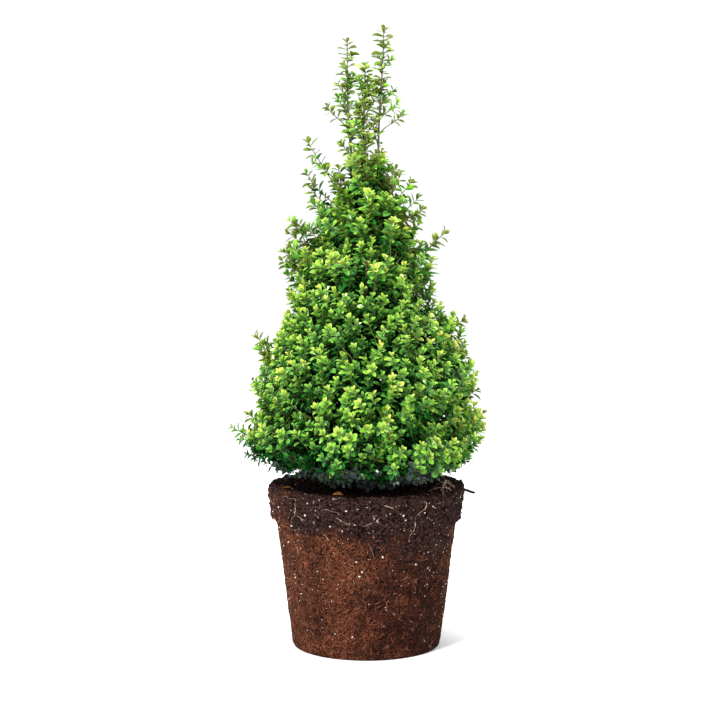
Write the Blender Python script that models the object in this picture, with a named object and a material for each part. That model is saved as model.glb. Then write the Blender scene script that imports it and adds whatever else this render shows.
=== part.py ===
"""Japanese holly: a narrow cone of small leaves on the root ball that came out of its pot.

Metres, +Z up. The origin is the middle of the root ball's flat underside, and the side
that is seen from the front faces -Y.
"""

import math
import random

import bmesh
import bpy
from mathutils import Quaternion, Vector
from mathutils.geometry import intersect_point_line

SEED = "japanese holly"
GAP = 0.00035
GOLDEN_ANGLE = math.radians(137.508)
UP = Vector((0, 0, 1))
SHARP_ANGLE = math.radians(50)

# Root ball, shaped by the pot: a tapered body under a wider rim band.
# The rim's rows are (height above the ledge, how far inside the rim's radius).
BALL_FOOT_RADIUS = 0.0990
BALL_SHOULDER_RADIUS = 0.1200
BALL_RIM_RADIUS = 0.1310
BALL_HEIGHT = 0.217
BALL_RIM_DEPTH = 0.045
SOIL_DISH_DEPTH = 0.005
SOIL_LEVEL = BALL_HEIGHT - SOIL_DISH_DEPTH
BALL_SIDES = 30
BODY_ROWS = (0.0, 0.03, 0.35, 0.68, 0.97)
RIM_ROWS = (
    (0.003, 0.004),
    (0.012, 0.001),
    (0.037, 0.0),
    (0.044, 0.006),
    (BALL_RIM_DEPTH - SOIL_DISH_DEPTH, 0.034),
)
RIM_CRUMBLE = 0.0022
BODY_CRUMBLE = 0.0008

# Short woody stub that stands out of the rim at the right, where the rim doesn't crumble
STUB_RADIUS = 0.0020
STUB_LENGTH = 0.019
STUB_AZIMUTH = math.radians(-12)
STUB_SIDES = (BALL_SIDES - 2, BALL_SIDES - 1, 0)
STUB_HEIGHT = BALL_HEIGHT - BALL_RIM_DEPTH + RIM_ROWS[2][0]
STUB_DROOP = 0.2

# Trunk, hidden in the foliage, from its flat foot on the soil to the fork
TRUNK_FOOT_RADIUS = 0.0165
TRUNK_RADIUS = 0.0100
TRUNK_LEAN = Vector((-0.004, 0.001, 0))
FORK_HEIGHT = 0.250
ROOT_LOBES = 5
# (share of the trunk's height, radius, how far its root lobes swell)
TRUNK_ROWS = (
    (0.0, TRUNK_FOOT_RADIUS, 0.22),
    (0.15, 0.0123, 0.12),
    (0.35, 0.0104, 0.05),
    (0.8, TRUNK_RADIUS, 0.0),
    (1.0, 0.0085, 0.0),
)

# Leaders: three upright stems that end as shoots high above the dense crown.
# Each has its (x, y) half-way, at the limb's top and at the shoot's tip, and the tip's height.
LEADER_RADIUS = 0.0062
LEADER_TOP_RADIUS = 0.0016
LEADER_LIMB_TOP = 0.648
LEADER_HALF_WAY = 0.45
LEADER_SEGMENTS = 12
LEADER_SHOOT_SEGMENTS = 6
LEADER_COLLAR = 0.024
LEADER_COLLAR_SUNK = 0.003
LEADER_FIRST_BEND = 0.020
FORK_SPREAD = 0.019
FORK_RISE = 0.026
LEADERS = {
    "left": ((-0.013, 0.009), (-0.019, 0.006), (-0.025, 0.005), 0.801),
    "centre": ((0.000, -0.015), (-0.002, -0.014), (-0.004, -0.012), 0.768),
    "right": ((0.013, 0.008), (0.016, 0.006), (0.022, 0.004), 0.818),
}
SIDES_OF_LIMB = 7

# Crown outline: (height, radius) of the dense cone, without the shoots that stand out of it
CROWN_OUTLINE = (
    (0.224, 0.112),
    (0.246, 0.146),
    (0.276, 0.160),
    (0.330, 0.154),
    (0.385, 0.141),
    (0.440, 0.112),
    (0.480, 0.098),
    (0.530, 0.089),
    (0.575, 0.076),
    (0.620, 0.067),
    (0.645, 0.052),
    (0.668, 0.034),
)
FOLIAGE_FLOOR = BALL_HEIGHT + 0.0045

# Tiers of foliage masses: (name, count, height, radius of their ring, first azimuth in degrees)
TIERS = (
    ("lower", 6, 0.286, 0.094, 30),
    ("middle", 5, 0.388, 0.076, 18),
    ("upper", 4, 0.485, 0.053, 0),
    ("crest", 3, 0.584, 0.031, 330),
)
LEADER_MASS_HEIGHT = 0.706
SPACE_MARGIN = 0.0006
LIMB_NEARBY = 0.13

# Boughs: those of the lowest tier leave the trunk, the others leave a leader below their mass
BOUGH_RADIUS = 0.0030
BOUGH_TIP_RADIUS = 0.0020
BOUGH_DROP = 0.062
BOUGH_TIP_DROP = 0.010
LOW_BOUGH_HEIGHT = 0.232
BOUGH_UPTURN = 0.5
BOUGH_SEGMENTS = 3
COLLAR_START = 1.2
COLLAR_LENGTH = 0.0045
COLLAR_RISE = 0.9
STRAIGHT_START = 0.003
LEADER_LAG = math.radians(50)
SIDES_OF_BOUGH = 5

# Twigs: one to each tip. The tips climb the crown in a spiral, and each has about the same
# share of its outline.
CROWN_TIPS = 98
OUTLINE_STEPS = 400
TOP_FAVOUR = 0.03
TIP_DEPTH = 0.013
TIP_UNEVENNESS = 0.05
LOBE_DEPTH = 0.52
LEAST_TIP_RADIUS = 0.01
TIP_ROOM = 0.0015
PULL_STEP = 0.02
TWIG_RADIUS = 0.0015
TWIG_TIP_RADIUS = 0.0009
TWIG_SEGMENTS = 3
# Where along the stem the lowest and the highest twig leave it
TWIG_STARTS = (0.30, 0.92)
TWIG_FIRST_PULL = (0.35, 0.08)
TWIG_LAST_PULL = 0.38
TWIG_TIP_OUTWARD = 0.75
TWIG_TIP_UPWARD = 0.65

# Stems of the dense masses: how far their ends lie outside and above the mass's centre
STEM_SEGMENTS = 3
STEM_END_OUTWARD = 0.012
STEM_END_RISE = 0.020
STEM_FIRST_REACH = 0.010

# Shoots that stand out of the outline: (x, y, z) of each tip
PROUD_TIPS = (
    (-0.083, -0.020, 0.668),
    (-0.078, 0.012, 0.628),
    (-0.099, -0.024, 0.537),
    (-0.104, -0.012, 0.473),
    (0.140, 0.014, 0.372),
    (0.143, -0.022, 0.342),
    (-0.108, -0.015, 0.566),
    (-0.116, 0.020, 0.513),
    (-0.150, -0.010, 0.418),
    (-0.151, 0.010, 0.352),
    (-0.160, -0.020, 0.312),
    (-0.181, 0.000, 0.287),
    (-0.158, -0.035, 0.262),
    (0.106, 0.000, 0.553),
    (0.130, -0.020, 0.440),
    (0.156, 0.010, 0.316),
    (0.064, 0.005, 0.620),
    (-0.054, -0.002, 0.716),
    (-0.062, 0.004, 0.652),
    (0.053, 0.000, 0.717),
    (0.046, 0.006, 0.746),
    (0.010, 0.110, 0.546),
    (0.050, 0.145, 0.392),
    (-0.075, 0.085, 0.590),
    (0.015, -0.140, 0.436),
)
LEADER_SIDE_SHOOTS = 4
LEADER_SIDE_FROM = 0.08
LEADER_SIDE_STRETCH = 0.60
LEADER_SIDE_REACH = 0.030
LEADER_SIDE_SHORTER = 0.4
LEADER_SIDE_OUTWARD = 0.7
LEADER_SIDE_UPWARD = 0.9

# Leaves, larger than life because they are fewer: (count, leafy length, leaf length, leaf width)
ROSETTE = (5, 0.008, 0.037, 0.0215)
PROUD_SHOOT = (6, 0.040, 0.023, 0.013)
LEADER_SHOOT = (13, 0.130, 0.0210, 0.0115)
LEADER_SIDE_SHOOT = (4, 0.016, 0.0200, 0.0110)
LEAF_THICKNESS = 0.05
LEAF_WIDEST_AT = 0.56
LEAF_RIDGE_AT = 0.50
LEAF_TIP_DROOP = 0.02
LEAF_SKYWARD = 0.35
LEAF_LIMB_CLEARANCE = 0.0012
LEAF_SAMPLES = (0.1, 0.3, 0.5, 0.7, 0.9, 1.0)
FIRST_LEAF_BACK = 0.0012
LEAF_SPREAD = math.radians(78)
TIP_LEAF_SPREAD = math.radians(34)
TIP_LEAF_SIZE = 0.72
LEAF_SPACING = 0.26
LEAF_PROUD = 0.006
LEAF_RIPE_AFTER = 0.008

# Cores of the dense masses: together a hollow cone that their twigs and leaves stand out of
CORE_DEPTH = 0.019
CORE_LEVELS = (0.2265, 0.250, 0.285, 0.330, 0.375, 0.420, 0.465, 0.510, 0.550, 0.582)
CORE_HOLLOW = ((0.2265, 0.064), (0.360, 0.054), (0.470, 0.042), (0.606, 0.028))
CORE_SIDES = 20
CORE_UNEVENNESS = 0.006
CORE_GROOVE = 0.016
CORE_GROOVE_REACH = 0.055
CORE_LEAST = 0.003
BOUGH_TIP_DEPTH = 0.007
LEAF_IN_CORE = CORE_DEPTH - LEAF_PROUD

BARK = ("bark", (0.155, 0.088, 0.055, 1), 0.85)
HOLLY_LEAF = ("holly_leaf", (0.085, 0.22, 0.022, 1), 0.42)
SOIL = ("potting_soil", (0.060, 0.024, 0.014, 1), 0.95)
DARK_ROOT = ("dark_root", (0.020, 0.017, 0.016, 1), 0.7)


def polar(radius, azimuth, height):
    return Vector((radius * math.cos(azimuth), radius * math.sin(azimuth), height))


def mix(a, b, share):
    return a + (b - a) * share


def radius_at(outline, height):
    """Radius at a height, straight between an outline's points and nothing above them."""
    if height <= outline[0][0]:
        return outline[0][1]
    for (low, inner), (high, outer) in zip(outline, outline[1:]):
        if height <= high:
            return mix(inner, outer, (height - low) / (high - low))
    return 0.0


def crown_radius(height):
    return radius_at(CROWN_OUTLINE, height)


def bezier(start, first, second, end, segments):
    """Points of a cubic curve, both ends among them."""
    points = []
    for step in range(segments + 1):
        t = step / segments
        u = 1 - t
        points.append(
            start * u**3 + first * (3 * u * u * t) + second * (3 * u * t * t) + end * t**3
        )
    return points


def along(path, share):
    """The point and the direction at a share of a path's corners."""
    place = share * (len(path) - 1)
    index = min(int(place), len(path) - 2)
    step = path[index + 1] - path[index]
    return path[index] + step * (place - index), step.normalized()


def across(direction):
    """A unit vector at right angles to a direction."""
    other = Vector((1, 0, 0)) if abs(direction.x) < 0.8 else Vector((0, 1, 0))
    return direction.cross(other).normalized()


def distance_to_path(point, path):
    best = math.inf
    for start, end in zip(path, path[1:]):
        share = intersect_point_line(point, start, end)[1]
        near = mix(start, end, min(max(share, 0.0), 1.0))
        best = min(best, (point - near).length)
    return best


def material(spec):
    """One Principled material for each finish, made when it is first asked for."""
    name, colour, roughness = spec
    found = bpy.data.materials.get(name)
    if found:
        return found
    made = bpy.data.materials.new(name)
    made.use_nodes = True
    shader = made.node_tree.nodes["Principled BSDF"]
    shader.inputs["Base Color"].default_value = colour
    shader.inputs["Roughness"].default_value = roughness
    shader.inputs["Metallic"].default_value = 0.0
    made.diffuse_color = colour
    return made


def add_object(name, vertices, faces, origin=None):
    """An object whose own origin is at a natural point of the piece."""
    origin = origin or Vector((0, 0, 0))
    mesh = bpy.data.meshes.new(name)
    mesh.from_pydata([vertex - origin for vertex in vertices], [], faces)
    mesh.update()
    made = bpy.data.objects.new(name, mesh)
    made.location = origin
    bpy.context.scene.collection.objects.link(made)
    return made


def add_rings(name, rings, origin=None):
    """A closed solid through rings of equal count, each end closed by one flat face."""
    sides = len(rings[0])
    vertices = [point for ring in rings for point in ring]
    faces = [tuple(reversed(range(sides)))]
    for row in range(len(rings) - 1):
        for side in range(sides):
            near, far = row * sides + side, row * sides + (side + 1) % sides
            faces.append((near, far, far + sides, near + sides))
    last = (len(rings) - 1) * sides
    faces.append(tuple(range(last, last + sides)))
    return add_object(name, vertices, faces, origin)


def tube_rings(path, radii, sides):
    """Rings round a path, carried along it without twist."""
    rings = []
    direction = (path[1] - path[0]).normalized()
    side = across(direction)
    for index, point in enumerate(path):
        before = path[max(index - 1, 0)]
        after = path[min(index + 1, len(path) - 1)]
        turned = (after - before).normalized()
        side = direction.rotation_difference(turned) @ side
        direction = turned
        ring = []
        for step in range(sides):
            turn = Quaternion(direction, 2 * math.pi * step / sides)
            ring.append(point + turn @ side * radii[index])
        rings.append(ring)
    return rings


def add_tube(name, path, first_radius, last_radius, sides):
    """A limb or twig: one tapering tube along a path, with flat ends."""
    count = len(path) - 1
    radii = [mix(first_radius, last_radius, index / count) for index in range(count + 1)]
    return add_rings(name, tube_rings(path, radii, sides), path[0])


def fuse(base, others, solver):
    """Joins the others to the base by one Boolean union and removes them."""
    group = bpy.data.collections.new("to_fuse")
    bpy.context.scene.collection.children.link(group)
    for other in others:
        for holder in other.users_collection:
            holder.objects.unlink(other)
        group.objects.link(other)
    union = base.modifiers.new("union", "BOOLEAN")
    union.operation = "UNION"
    union.operand_type = "COLLECTION"
    union.collection = group
    union.solver = solver
    bpy.context.view_layer.update()
    with bpy.context.temp_override(object=base, active_object=base):
        bpy.ops.object.modifier_apply(modifier=union.name)
    for other in others:
        mesh = other.data
        bpy.data.objects.remove(other)
        bpy.data.meshes.remove(mesh)
    bpy.data.collections.remove(group)
    return base


def keep_outer_body(made):
    """Drops loose scraps and the walls of sealed hollows that a union leaves."""
    mesh = made.data
    mesh.calc_loop_triangles()
    owner = list(range(len(mesh.polygons)))

    def root(index):
        while owner[index] != index:
            owner[index] = owner[owner[index]]
            index = owner[index]
        return index

    first_on_edge = {}
    for face in mesh.polygons:
        for edge in face.edge_keys:
            owner[root(face.index)] = root(first_on_edge.setdefault(edge, face.index))
    volumes = {}
    for triangle in mesh.loop_triangles:
        a, b, c = (mesh.vertices[index].co for index in triangle.vertices)
        body = root(triangle.polygon_index)
        volumes[body] = volumes.get(body, 0.0) + a.dot(b.cross(c))
    largest = max(volumes, key=volumes.get)
    renumbered = {}
    faces = []
    for face in mesh.polygons:
        if root(face.index) == largest:
            faces.append([renumbered.setdefault(index, len(renumbered)) for index in face.vertices])
    vertices = [mesh.vertices[index].co.copy() for index in renumbered]
    mesh.clear_geometry()
    mesh.from_pydata(vertices, [], faces)
    mesh.update()


def finish(made, parent, spec, smooth=False):
    """Parents a piece to the plant's empty and gives it its material."""
    made.parent = parent
    made.data.materials.clear()
    made.data.materials.append(material(spec))
    if smooth:
        made.data.shade_smooth()
        made.data.set_sharp_from_angle(angle=SHARP_ANGLE)
    return made


def crumbled(height, radius, amount, dice):
    """A ring of the root ball whose points stray in and out like crumbly soil."""
    ring = []
    for side in range(BALL_SIDES):
        stray = amount * (dice.random() * 2 - 1)
        if side in STUB_SIDES:
            stray = 0.0
        ring.append(polar(radius + stray, 2 * math.pi * side / BALL_SIDES, height))
    return ring


def add_root_ball(parent):
    """The pot-shaped ball: flat foot, tapered body, a rim band and a dished soil surface."""
    dice = random.Random(SEED + "ball")
    ledge = BALL_HEIGHT - BALL_RIM_DEPTH
    rings = []
    for share in BODY_ROWS:
        radius = mix(BALL_FOOT_RADIUS, BALL_SHOULDER_RADIUS, share)
        rings.append(crumbled(ledge * share, radius, BODY_CRUMBLE, dice))
    for rise, inside in RIM_ROWS:
        rings.append(crumbled(ledge + rise, BALL_RIM_RADIUS - inside, RIM_CRUMBLE, dice))
    return finish(add_rings("root_ball", rings), parent, SOIL, smooth=True)


def add_root_stub(parent):
    """A cut woody end that sticks out of the rim band, a little downwards."""
    outward = polar(1, STUB_AZIMUTH, -STUB_DROOP).normalized()
    clear = GAP + STUB_RADIUS * STUB_DROOP
    start = polar(BALL_RIM_RADIUS + clear, STUB_AZIMUTH, STUB_HEIGHT)
    path = [start, start + outward * (STUB_LENGTH / 2), start + outward * STUB_LENGTH]
    stub = add_tube("root_stub", path, STUB_RADIUS, STUB_RADIUS, SIDES_OF_BOUGH)
    return finish(stub, parent, DARK_ROOT)


def leader_path(name):
    """The leader's limb: it spreads from the trunk's fork and passes its half-way point."""
    middle, top, _, _ = LEADERS[name]
    fork = Vector((0, 0, FORK_HEIGHT)) + TRUNK_LEAN
    end = Vector((*top, LEADER_LIMB_TOP))
    half = Vector((*middle, mix(FORK_HEIGHT, LEADER_LIMB_TOP, LEADER_HALF_WAY)))
    low = fork + Vector(middle).to_3d().normalized() * FORK_SPREAD + UP * FORK_RISE
    high = (half * 8 - fork - low * 3 - end) / 3
    return bezier(fork, low, high, end, LEADER_SEGMENTS)


def shoot_path(name):
    """The leader's leafy shoot, from the top of its limb to its tip."""
    _, top, tip, height = LEADERS[name]
    start = Vector((*top, LEADER_LIMB_TOP))
    end = Vector((*tip, height))
    direction = along(leader_path(name), 1)[1]
    start = start + direction * GAP
    straight = start + direction * STRAIGHT_START
    reach = (end - straight).length / 3
    low, high = straight + direction * reach, end - UP * reach
    return [start] + bezier(straight, low, high, end, LEADER_SHOOT_SEGMENTS)


class Mass:
    """One mass of foliage: its space is all that is nearer its centre than any other's."""

    def __init__(self, name, centre, leader, dense):
        self.name = name
        self.centre = centre
        self.leader = leader
        self.dense = dense
        self.tips = []
        self.proud_tips = []
        self.stem = []
        self.planes = []
        self.dice = random.Random(SEED + name)

    def set_space(self, masses):
        """Planes half-way to every other centre, facing away from this one."""
        for other in masses:
            if other is not self:
                apart = other.centre - self.centre
                self.planes.append(((self.centre + other.centre) / 2, apart.normalized()))

    def room(self, point):
        """How far a point lies inside the space. It is negative outside."""
        sides = [(middle - point).dot(normal) for middle, normal in self.planes]
        return min(min(sides) - SPACE_MARGIN, point.z - FOLIAGE_FLOOR)

    def pulled_in(self, point):
        """The point, drawn to the centre until it has some room inside the space."""
        share = 1.0
        while share > 0 and self.room(mix(self.centre, point, share)) < TIP_ROOM:
            share -= PULL_STEP
        return mix(self.centre, point, max(share, 0.0))


def place_masses():
    """The tiers of dense masses round the leaders, and one mass on each leader's shoot."""
    masses = []
    leader_azimuth = {name: math.atan2(top[1], top[0]) for name, (_, top, _, _) in LEADERS.items()}
    for tier, count, height, radius, first in TIERS:
        for index in range(count):
            azimuth = math.radians(first + 360 * index / count)
            centre = polar(radius, azimuth, height)
            leader = max(
                leader_azimuth,
                key=lambda name: math.cos(leader_azimuth[name] - azimuth - LEADER_LAG),
            )
            if tier == "lower":
                leader = "trunk"
            masses.append(Mass(f"foliage_{tier}_{index + 1}", centre, leader, True))
    for name, (_, top, _, _) in LEADERS.items():
        centre = Vector((*top, LEADER_MASS_HEIGHT))
        masses.append(Mass(f"foliage_leader_{name}", centre, name, False))
    for mass in masses:
        mass.set_space(masses)
    return masses


def outline_heights(count):
    """Heights that share out the outline's area among the tips, a little in the top's favour."""
    low, high = CROWN_OUTLINE[0][0], CROWN_OUTLINE[-1][0]
    steps = [mix(low, high, (step + 0.5) / OUTLINE_STEPS) for step in range(OUTLINE_STEPS)]
    areas = [crown_radius(height) + TOP_FAVOUR for height in steps]
    total, passed, heights = sum(areas), 0.0, []
    for height, area in zip(steps, areas):
        passed += area
        while len(heights) < count and passed >= total * (len(heights) + 0.5) / count:
            heights.append(height)
    return heights


def nearest_mass(point, masses):
    return min(masses, key=lambda mass: (mass.centre - point).length)


def share_out_tips(masses):
    """Gives every mass the tips in its space: the crown's spiral and the proud shoots."""
    dice = random.Random(SEED + "tips")
    dense = [mass for mass in masses if mass.dense]
    for index, height in enumerate(outline_heights(CROWN_TIPS)):
        azimuth = index * GOLDEN_ANGLE
        outer = polar(crown_radius(height), azimuth, height)
        mass = nearest_mass(outer, dense)
        bearing = math.atan2(mass.centre.y, mass.centre.x)
        off_centre = 1 - math.cos(bearing - azimuth)
        stray = TIP_UNEVENNESS * (dice.random() * 2 - 1)
        radius = outer.xy.length * (1 - LOBE_DEPTH * off_centre + stray) - TIP_DEPTH
        mass.tips.append(polar(max(radius, LEAST_TIP_RADIUS), azimuth, height))
    for tip in PROUD_TIPS:
        tip = Vector(tip)
        nearest_mass(tip, masses).proud_tips.append(tip)
    for mass in masses:
        mass.tips = [mass.pulled_in(tip) for tip in mass.tips]
        mass.proud_tips = [mass.pulled_in(tip) for tip in mass.proud_tips]


def trunk_axis():
    """The middle of the trunk's foot and of its fork."""
    return Vector((0, 0, SOIL_LEVEL + GAP)), Vector((0, 0, FORK_HEIGHT)) + TRUNK_LEAN


def bough_collar(mass):
    """The collar that a bough leaves its leader or the trunk by: its axis from end to end."""
    if mass.leader == "trunk":
        foot, fork = trunk_axis()
        origin = mix(foot, fork, (LOW_BOUGH_HEIGHT - foot.z) / (fork.z - foot.z))
        radius = TRUNK_RADIUS
    else:
        path = leader_path(mass.leader)
        height = mass.centre.z - BOUGH_DROP
        index = next(i for i, point in enumerate(path) if point.z > height)
        share = (height - path[index - 1].z) / (path[index].z - path[index - 1].z)
        origin = mix(path[index - 1], path[index], share)
        radius = leader_radius((index - 1 + share) / (len(path) - 1))
    outward = mass.centre - origin
    outward.z = 0
    direction = (outward.normalized() + UP * COLLAR_RISE).normalized()
    return origin, origin + direction * (radius * COLLAR_START + COLLAR_LENGTH)


def leader_radius(share):
    return mix(LEADER_RADIUS, LEADER_TOP_RADIUS, share)


def bough_path(mass):
    """A bough, from its collar's face to the start of its mass's stem."""
    origin, face = bough_collar(mass)
    direction = (face - origin).normalized()
    start = face + direction * GAP
    azimuth = math.atan2(mass.centre.y, mass.centre.x)
    hollow = radius_at(CORE_HOLLOW, mass.centre.z)
    target = polar(hollow - BOUGH_TIP_DEPTH, azimuth, mass.centre.z - BOUGH_TIP_DROP)
    straight = start + direction * STRAIGHT_START
    reach = (target - straight).length / 3
    low = straight + direction * reach
    arrival = (mass.centre - target).normalized() + UP * BOUGH_UPTURN
    high = target - arrival.normalized() * reach
    return [start] + bezier(straight, low, high, target, BOUGH_SEGMENTS)


def grow_stems(masses):
    """Each mass's own stem goes on from its bough, or is the leader's shoot."""
    for mass in masses:
        if not mass.dense:
            mass.stem = shoot_path(mass.leader)
            continue
        path = bough_path(mass)
        direction = (path[-1] - path[-2]).normalized()
        start = path[-1] + direction * GAP
        straight = start + direction * STRAIGHT_START
        outward = Vector((mass.centre.x, mass.centre.y, 0)).normalized()
        end = mass.pulled_in(mass.centre + outward * STEM_END_OUTWARD + UP * STEM_END_RISE)
        low = straight + direction * STEM_FIRST_REACH
        mass.stem = [start] + bezier(straight, low, mass.centre, end, STEM_SEGMENTS)


def leader_collar(name):
    """The collar that carries a leader: from inside the trunk's fork to its flat face."""
    path = leader_path(name)
    direction = (path[1] - path[0]).normalized()
    return path[0] - direction * LEADER_COLLAR_SUNK, path[0] + direction * LEADER_COLLAR


def add_collars(limb, axes, radius, sides):
    """Fuses short straight stubs to a limb, whose flat faces carry the next limbs."""
    collars = []
    for origin, face in axes:
        path = [origin, mix(origin, face, 0.5), face]
        collars.append(add_tube("collar", path, radius, radius, sides))
    fuse(limb, collars, "EXACT")


def add_trunk(masses, parent):
    """The short trunk: a lobed flare on the soil, a leaning shaft, and its collars."""
    foot, fork = trunk_axis()
    rings = []
    for share, radius, lobe in TRUNK_ROWS:
        centre = mix(foot, fork, share)
        ring = []
        for side in range(2 * ROOT_LOBES):
            swell = 1 + lobe * (1 if side % 2 else -1)
            azimuth = math.pi * side / ROOT_LOBES
            ring.append(centre + polar(radius * swell, azimuth, 0))
        rings.append(ring)
    trunk = add_rings("trunk", rings, foot)
    low = [bough_collar(mass) for mass in masses if mass.leader == "trunk"]
    add_collars(trunk, low, BOUGH_RADIUS, SIDES_OF_BOUGH)
    add_collars(trunk, [leader_collar(name) for name in LEADERS], LEADER_RADIUS, SIDES_OF_LIMB)
    keep_outer_body(trunk)
    return finish(trunk, parent, BARK, smooth=True)


def add_leader(name, masses, parent):
    """A leader's limb with a short collar for every bough that leaves it."""
    path = leader_path(name)
    origin, face = leader_collar(name)
    direction = (face - origin).normalized()
    start = face + direction * GAP
    path = [point for point in path if point.z > start.z + LEADER_FIRST_BEND]
    path = [start, start + direction * STRAIGHT_START] + path
    limb = add_tube(f"leader_{name}", path, LEADER_RADIUS, LEADER_TOP_RADIUS, SIDES_OF_LIMB)
    collars = [bough_collar(mass) for mass in masses if mass.dense and mass.leader == name]
    add_collars(limb, collars, BOUGH_RADIUS, SIDES_OF_BOUGH)
    keep_outer_body(limb)
    return finish(limb, parent, BARK, smooth=True)


def limb_paths(masses):
    """(path, thickest radius) of every limb, which foliage keeps clear of."""
    limbs = [(leader_path(name), LEADER_RADIUS) for name in LEADERS]
    limbs += [(bough_path(mass), BOUGH_RADIUS) for mass in masses if mass.dense]
    limbs.append(([Vector((0, 0, SOIL_LEVEL)), Vector((0, 0, FORK_HEIGHT))], TRUNK_FOOT_RADIUS))
    return limbs


def clearance(point, limbs):
    return min(distance_to_path(point, path) - radius for path, radius in limbs)


def groove(point, masses):
    """How far the cores' surface draws in at a point: most where two masses meet."""
    nearest, second = sorted((mass.centre - point).length for mass in masses)[:2]
    return CORE_GROOVE * max(0.0, 1 - (second - nearest) / CORE_GROOVE_REACH)


def core_cone(masses):
    """The hollow cone of all cores: a closed profile of outer and inner points, turned."""
    dice = random.Random(SEED + "core")
    outer = [(crown_radius(height) - CORE_DEPTH, height) for height in CORE_LEVELS]
    inner = [(radius, height) for height, radius in reversed(CORE_HOLLOW)]
    cone = bmesh.new()
    rows = []
    for side in range(CORE_SIDES):
        azimuth = 2 * math.pi * side / CORE_SIDES
        row = []
        for radius, height in outer:
            stray = CORE_UNEVENNESS * (dice.random() - 0.5)
            drawn_in = groove(polar(radius, azimuth, height), masses)
            radius = max(radius + stray - drawn_in, radius_at(CORE_HOLLOW, height) + CORE_LEAST)
            row.append(cone.verts.new(polar(radius, azimuth, height)))
        row += [cone.verts.new(polar(radius, azimuth, height)) for radius, height in inner]
        rows.append(row)
    for side in range(CORE_SIDES):
        near, far = rows[side - 1], rows[side]
        for index in range(len(near)):
            cone.faces.new((near[index - 1], far[index - 1], far[index], near[index]))
    bmesh.ops.triangulate(cone, faces=cone.faces)
    bmesh.ops.recalc_face_normals(cone, faces=cone.faces)
    return cone


def add_core(mass, masses):
    """The mass's share of the hollow cone, cut out along the planes of its space."""
    core = core_cone([other for other in masses if other.dense])
    upright_first = sorted(mass.planes, key=lambda plane: abs(plane[1].z))
    for middle, normal in upright_first:
        cut = bmesh.ops.bisect_plane(
            core,
            geom=core.verts[:] + core.edges[:] + core.faces[:],
            plane_co=middle - normal * SPACE_MARGIN,
            plane_no=normal,
            clear_outer=True,
        )
        rim = [piece for piece in cut["geom_cut"] if isinstance(piece, bmesh.types.BMEdge)]
        bmesh.ops.holes_fill(core, edges=rim)
    bmesh.ops.triangulate(core, faces=core.faces)
    mesh = bpy.data.meshes.new("core")
    core.to_mesh(mesh)
    core.free()
    made = bpy.data.objects.new("core", mesh)
    bpy.context.scene.collection.objects.link(made)
    return made


LEAF_FACES = ((0, 1, 4), (1, 2, 4), (2, 3, 4), (3, 0, 4), (0, 3, 1), (1, 3, 2))


def leaf_points(root, direction, facing, length, width):
    """A leaf's five points: root, two sides, tip, and the ridge of its upper face."""
    side = direction.cross(facing).normalized()
    up = side.cross(direction).normalized()
    widest = root + direction * (length * LEAF_WIDEST_AT)
    return [
        root,
        widest + side * (width / 2),
        root + direction * length - up * (length * LEAF_TIP_DROOP),
        widest - side * (width / 2),
        root + direction * (length * LEAF_RIDGE_AT) + up * (length * LEAF_THICKNESS),
    ]


def leaf_fits(mass, points, limbs, width, taken):
    """Whether a leaf keeps to its space, off the limbs, out of the core and off other leaves."""
    if min(mass.room(point) for point in points) < 0:
        return False
    root, tip = points[0], points[2]
    if mass.dense and tip.xy.length < crown_radius(tip.z) - LEAF_IN_CORE:
        return False
    for share in LEAF_SAMPLES:
        if clearance(mix(root, tip, share), limbs) < width / 2 + LEAF_LIMB_CLEARANCE:
            return False
    middle = mix(root, tip, LEAF_WIDEST_AT)
    apart = (tip - root).length * LEAF_SPACING
    return all((middle - other).length > apart for other in taken)


def twig_fits(mass, path, limbs):
    """Whether a twig keeps clear of the limbs all the way, beyond its own mass's stem."""
    points = path[1:] + [mix(a, b, 0.5) for a, b in zip(path, path[1:])]
    return all(
        mass.room(point) > TWIG_RADIUS and clearance(point, limbs) > 2 * TWIG_RADIUS
        for point in points
    )


def back_from_tip(path, distance):
    """The point and the direction at a distance back along a path from its last point."""
    for index in range(len(path) - 1, 0, -1):
        step = path[index - 1] - path[index]
        if distance <= step.length or index == 1:
            return path[index] + step.normalized() * distance, -step.normalized()
        distance -= step.length


def grow_leaves(mass, path, kind, limbs, taken):
    """Leaves in a spiral back from a twig's tip, drawn up at the tip and spread wide below."""
    count, leafy_length, length, width = kind
    leaves = []
    turn = mass.dice.random() * 2 * math.pi
    for index in range(count):
        share = index / (count - 1)
        age = min(share * leafy_length / LEAF_RIPE_AFTER, 1.0)
        root, direction = back_from_tip(path, FIRST_LEAF_BACK + leafy_length * share)
        turn += GOLDEN_ANGLE
        outward = Quaternion(direction, turn) @ across(direction)
        spread = mix(TIP_LEAF_SPREAD, LEAF_SPREAD, age)
        leaf_direction = direction * math.cos(spread) + outward * math.sin(spread)
        facing = direction * math.sin(spread) - outward * math.cos(spread) + UP * LEAF_SKYWARD
        size = mix(TIP_LEAF_SIZE, 1, age)
        points = leaf_points(root, leaf_direction, facing, length * size, width * size)
        if leaf_fits(mass, points, limbs, width * size, taken):
            taken.append(mix(points[0], points[2], LEAF_WIDEST_AT))
            leaves.append(add_object("leaf", points, LEAF_FACES))
    return leaves


def twig_path(mass, tip, rank):
    """A twig that leaves the stem near its rank's height and turns up to its tip."""
    start, direction = along(mass.stem, mix(*TWIG_STARTS, rank))
    reach = (tip - start).length
    towards_tip, with_stem = TWIG_FIRST_PULL
    first = start + (tip - start) * towards_tip + direction * reach * with_stem
    outward = Vector((tip.x, tip.y, 0)).normalized()
    arrival = (outward * TWIG_TIP_OUTWARD + UP * TWIG_TIP_UPWARD).normalized()
    second = tip - arrival * reach * TWIG_LAST_PULL
    return bezier(start, mass.pulled_in(first), mass.pulled_in(second), tip, TWIG_SEGMENTS)


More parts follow.
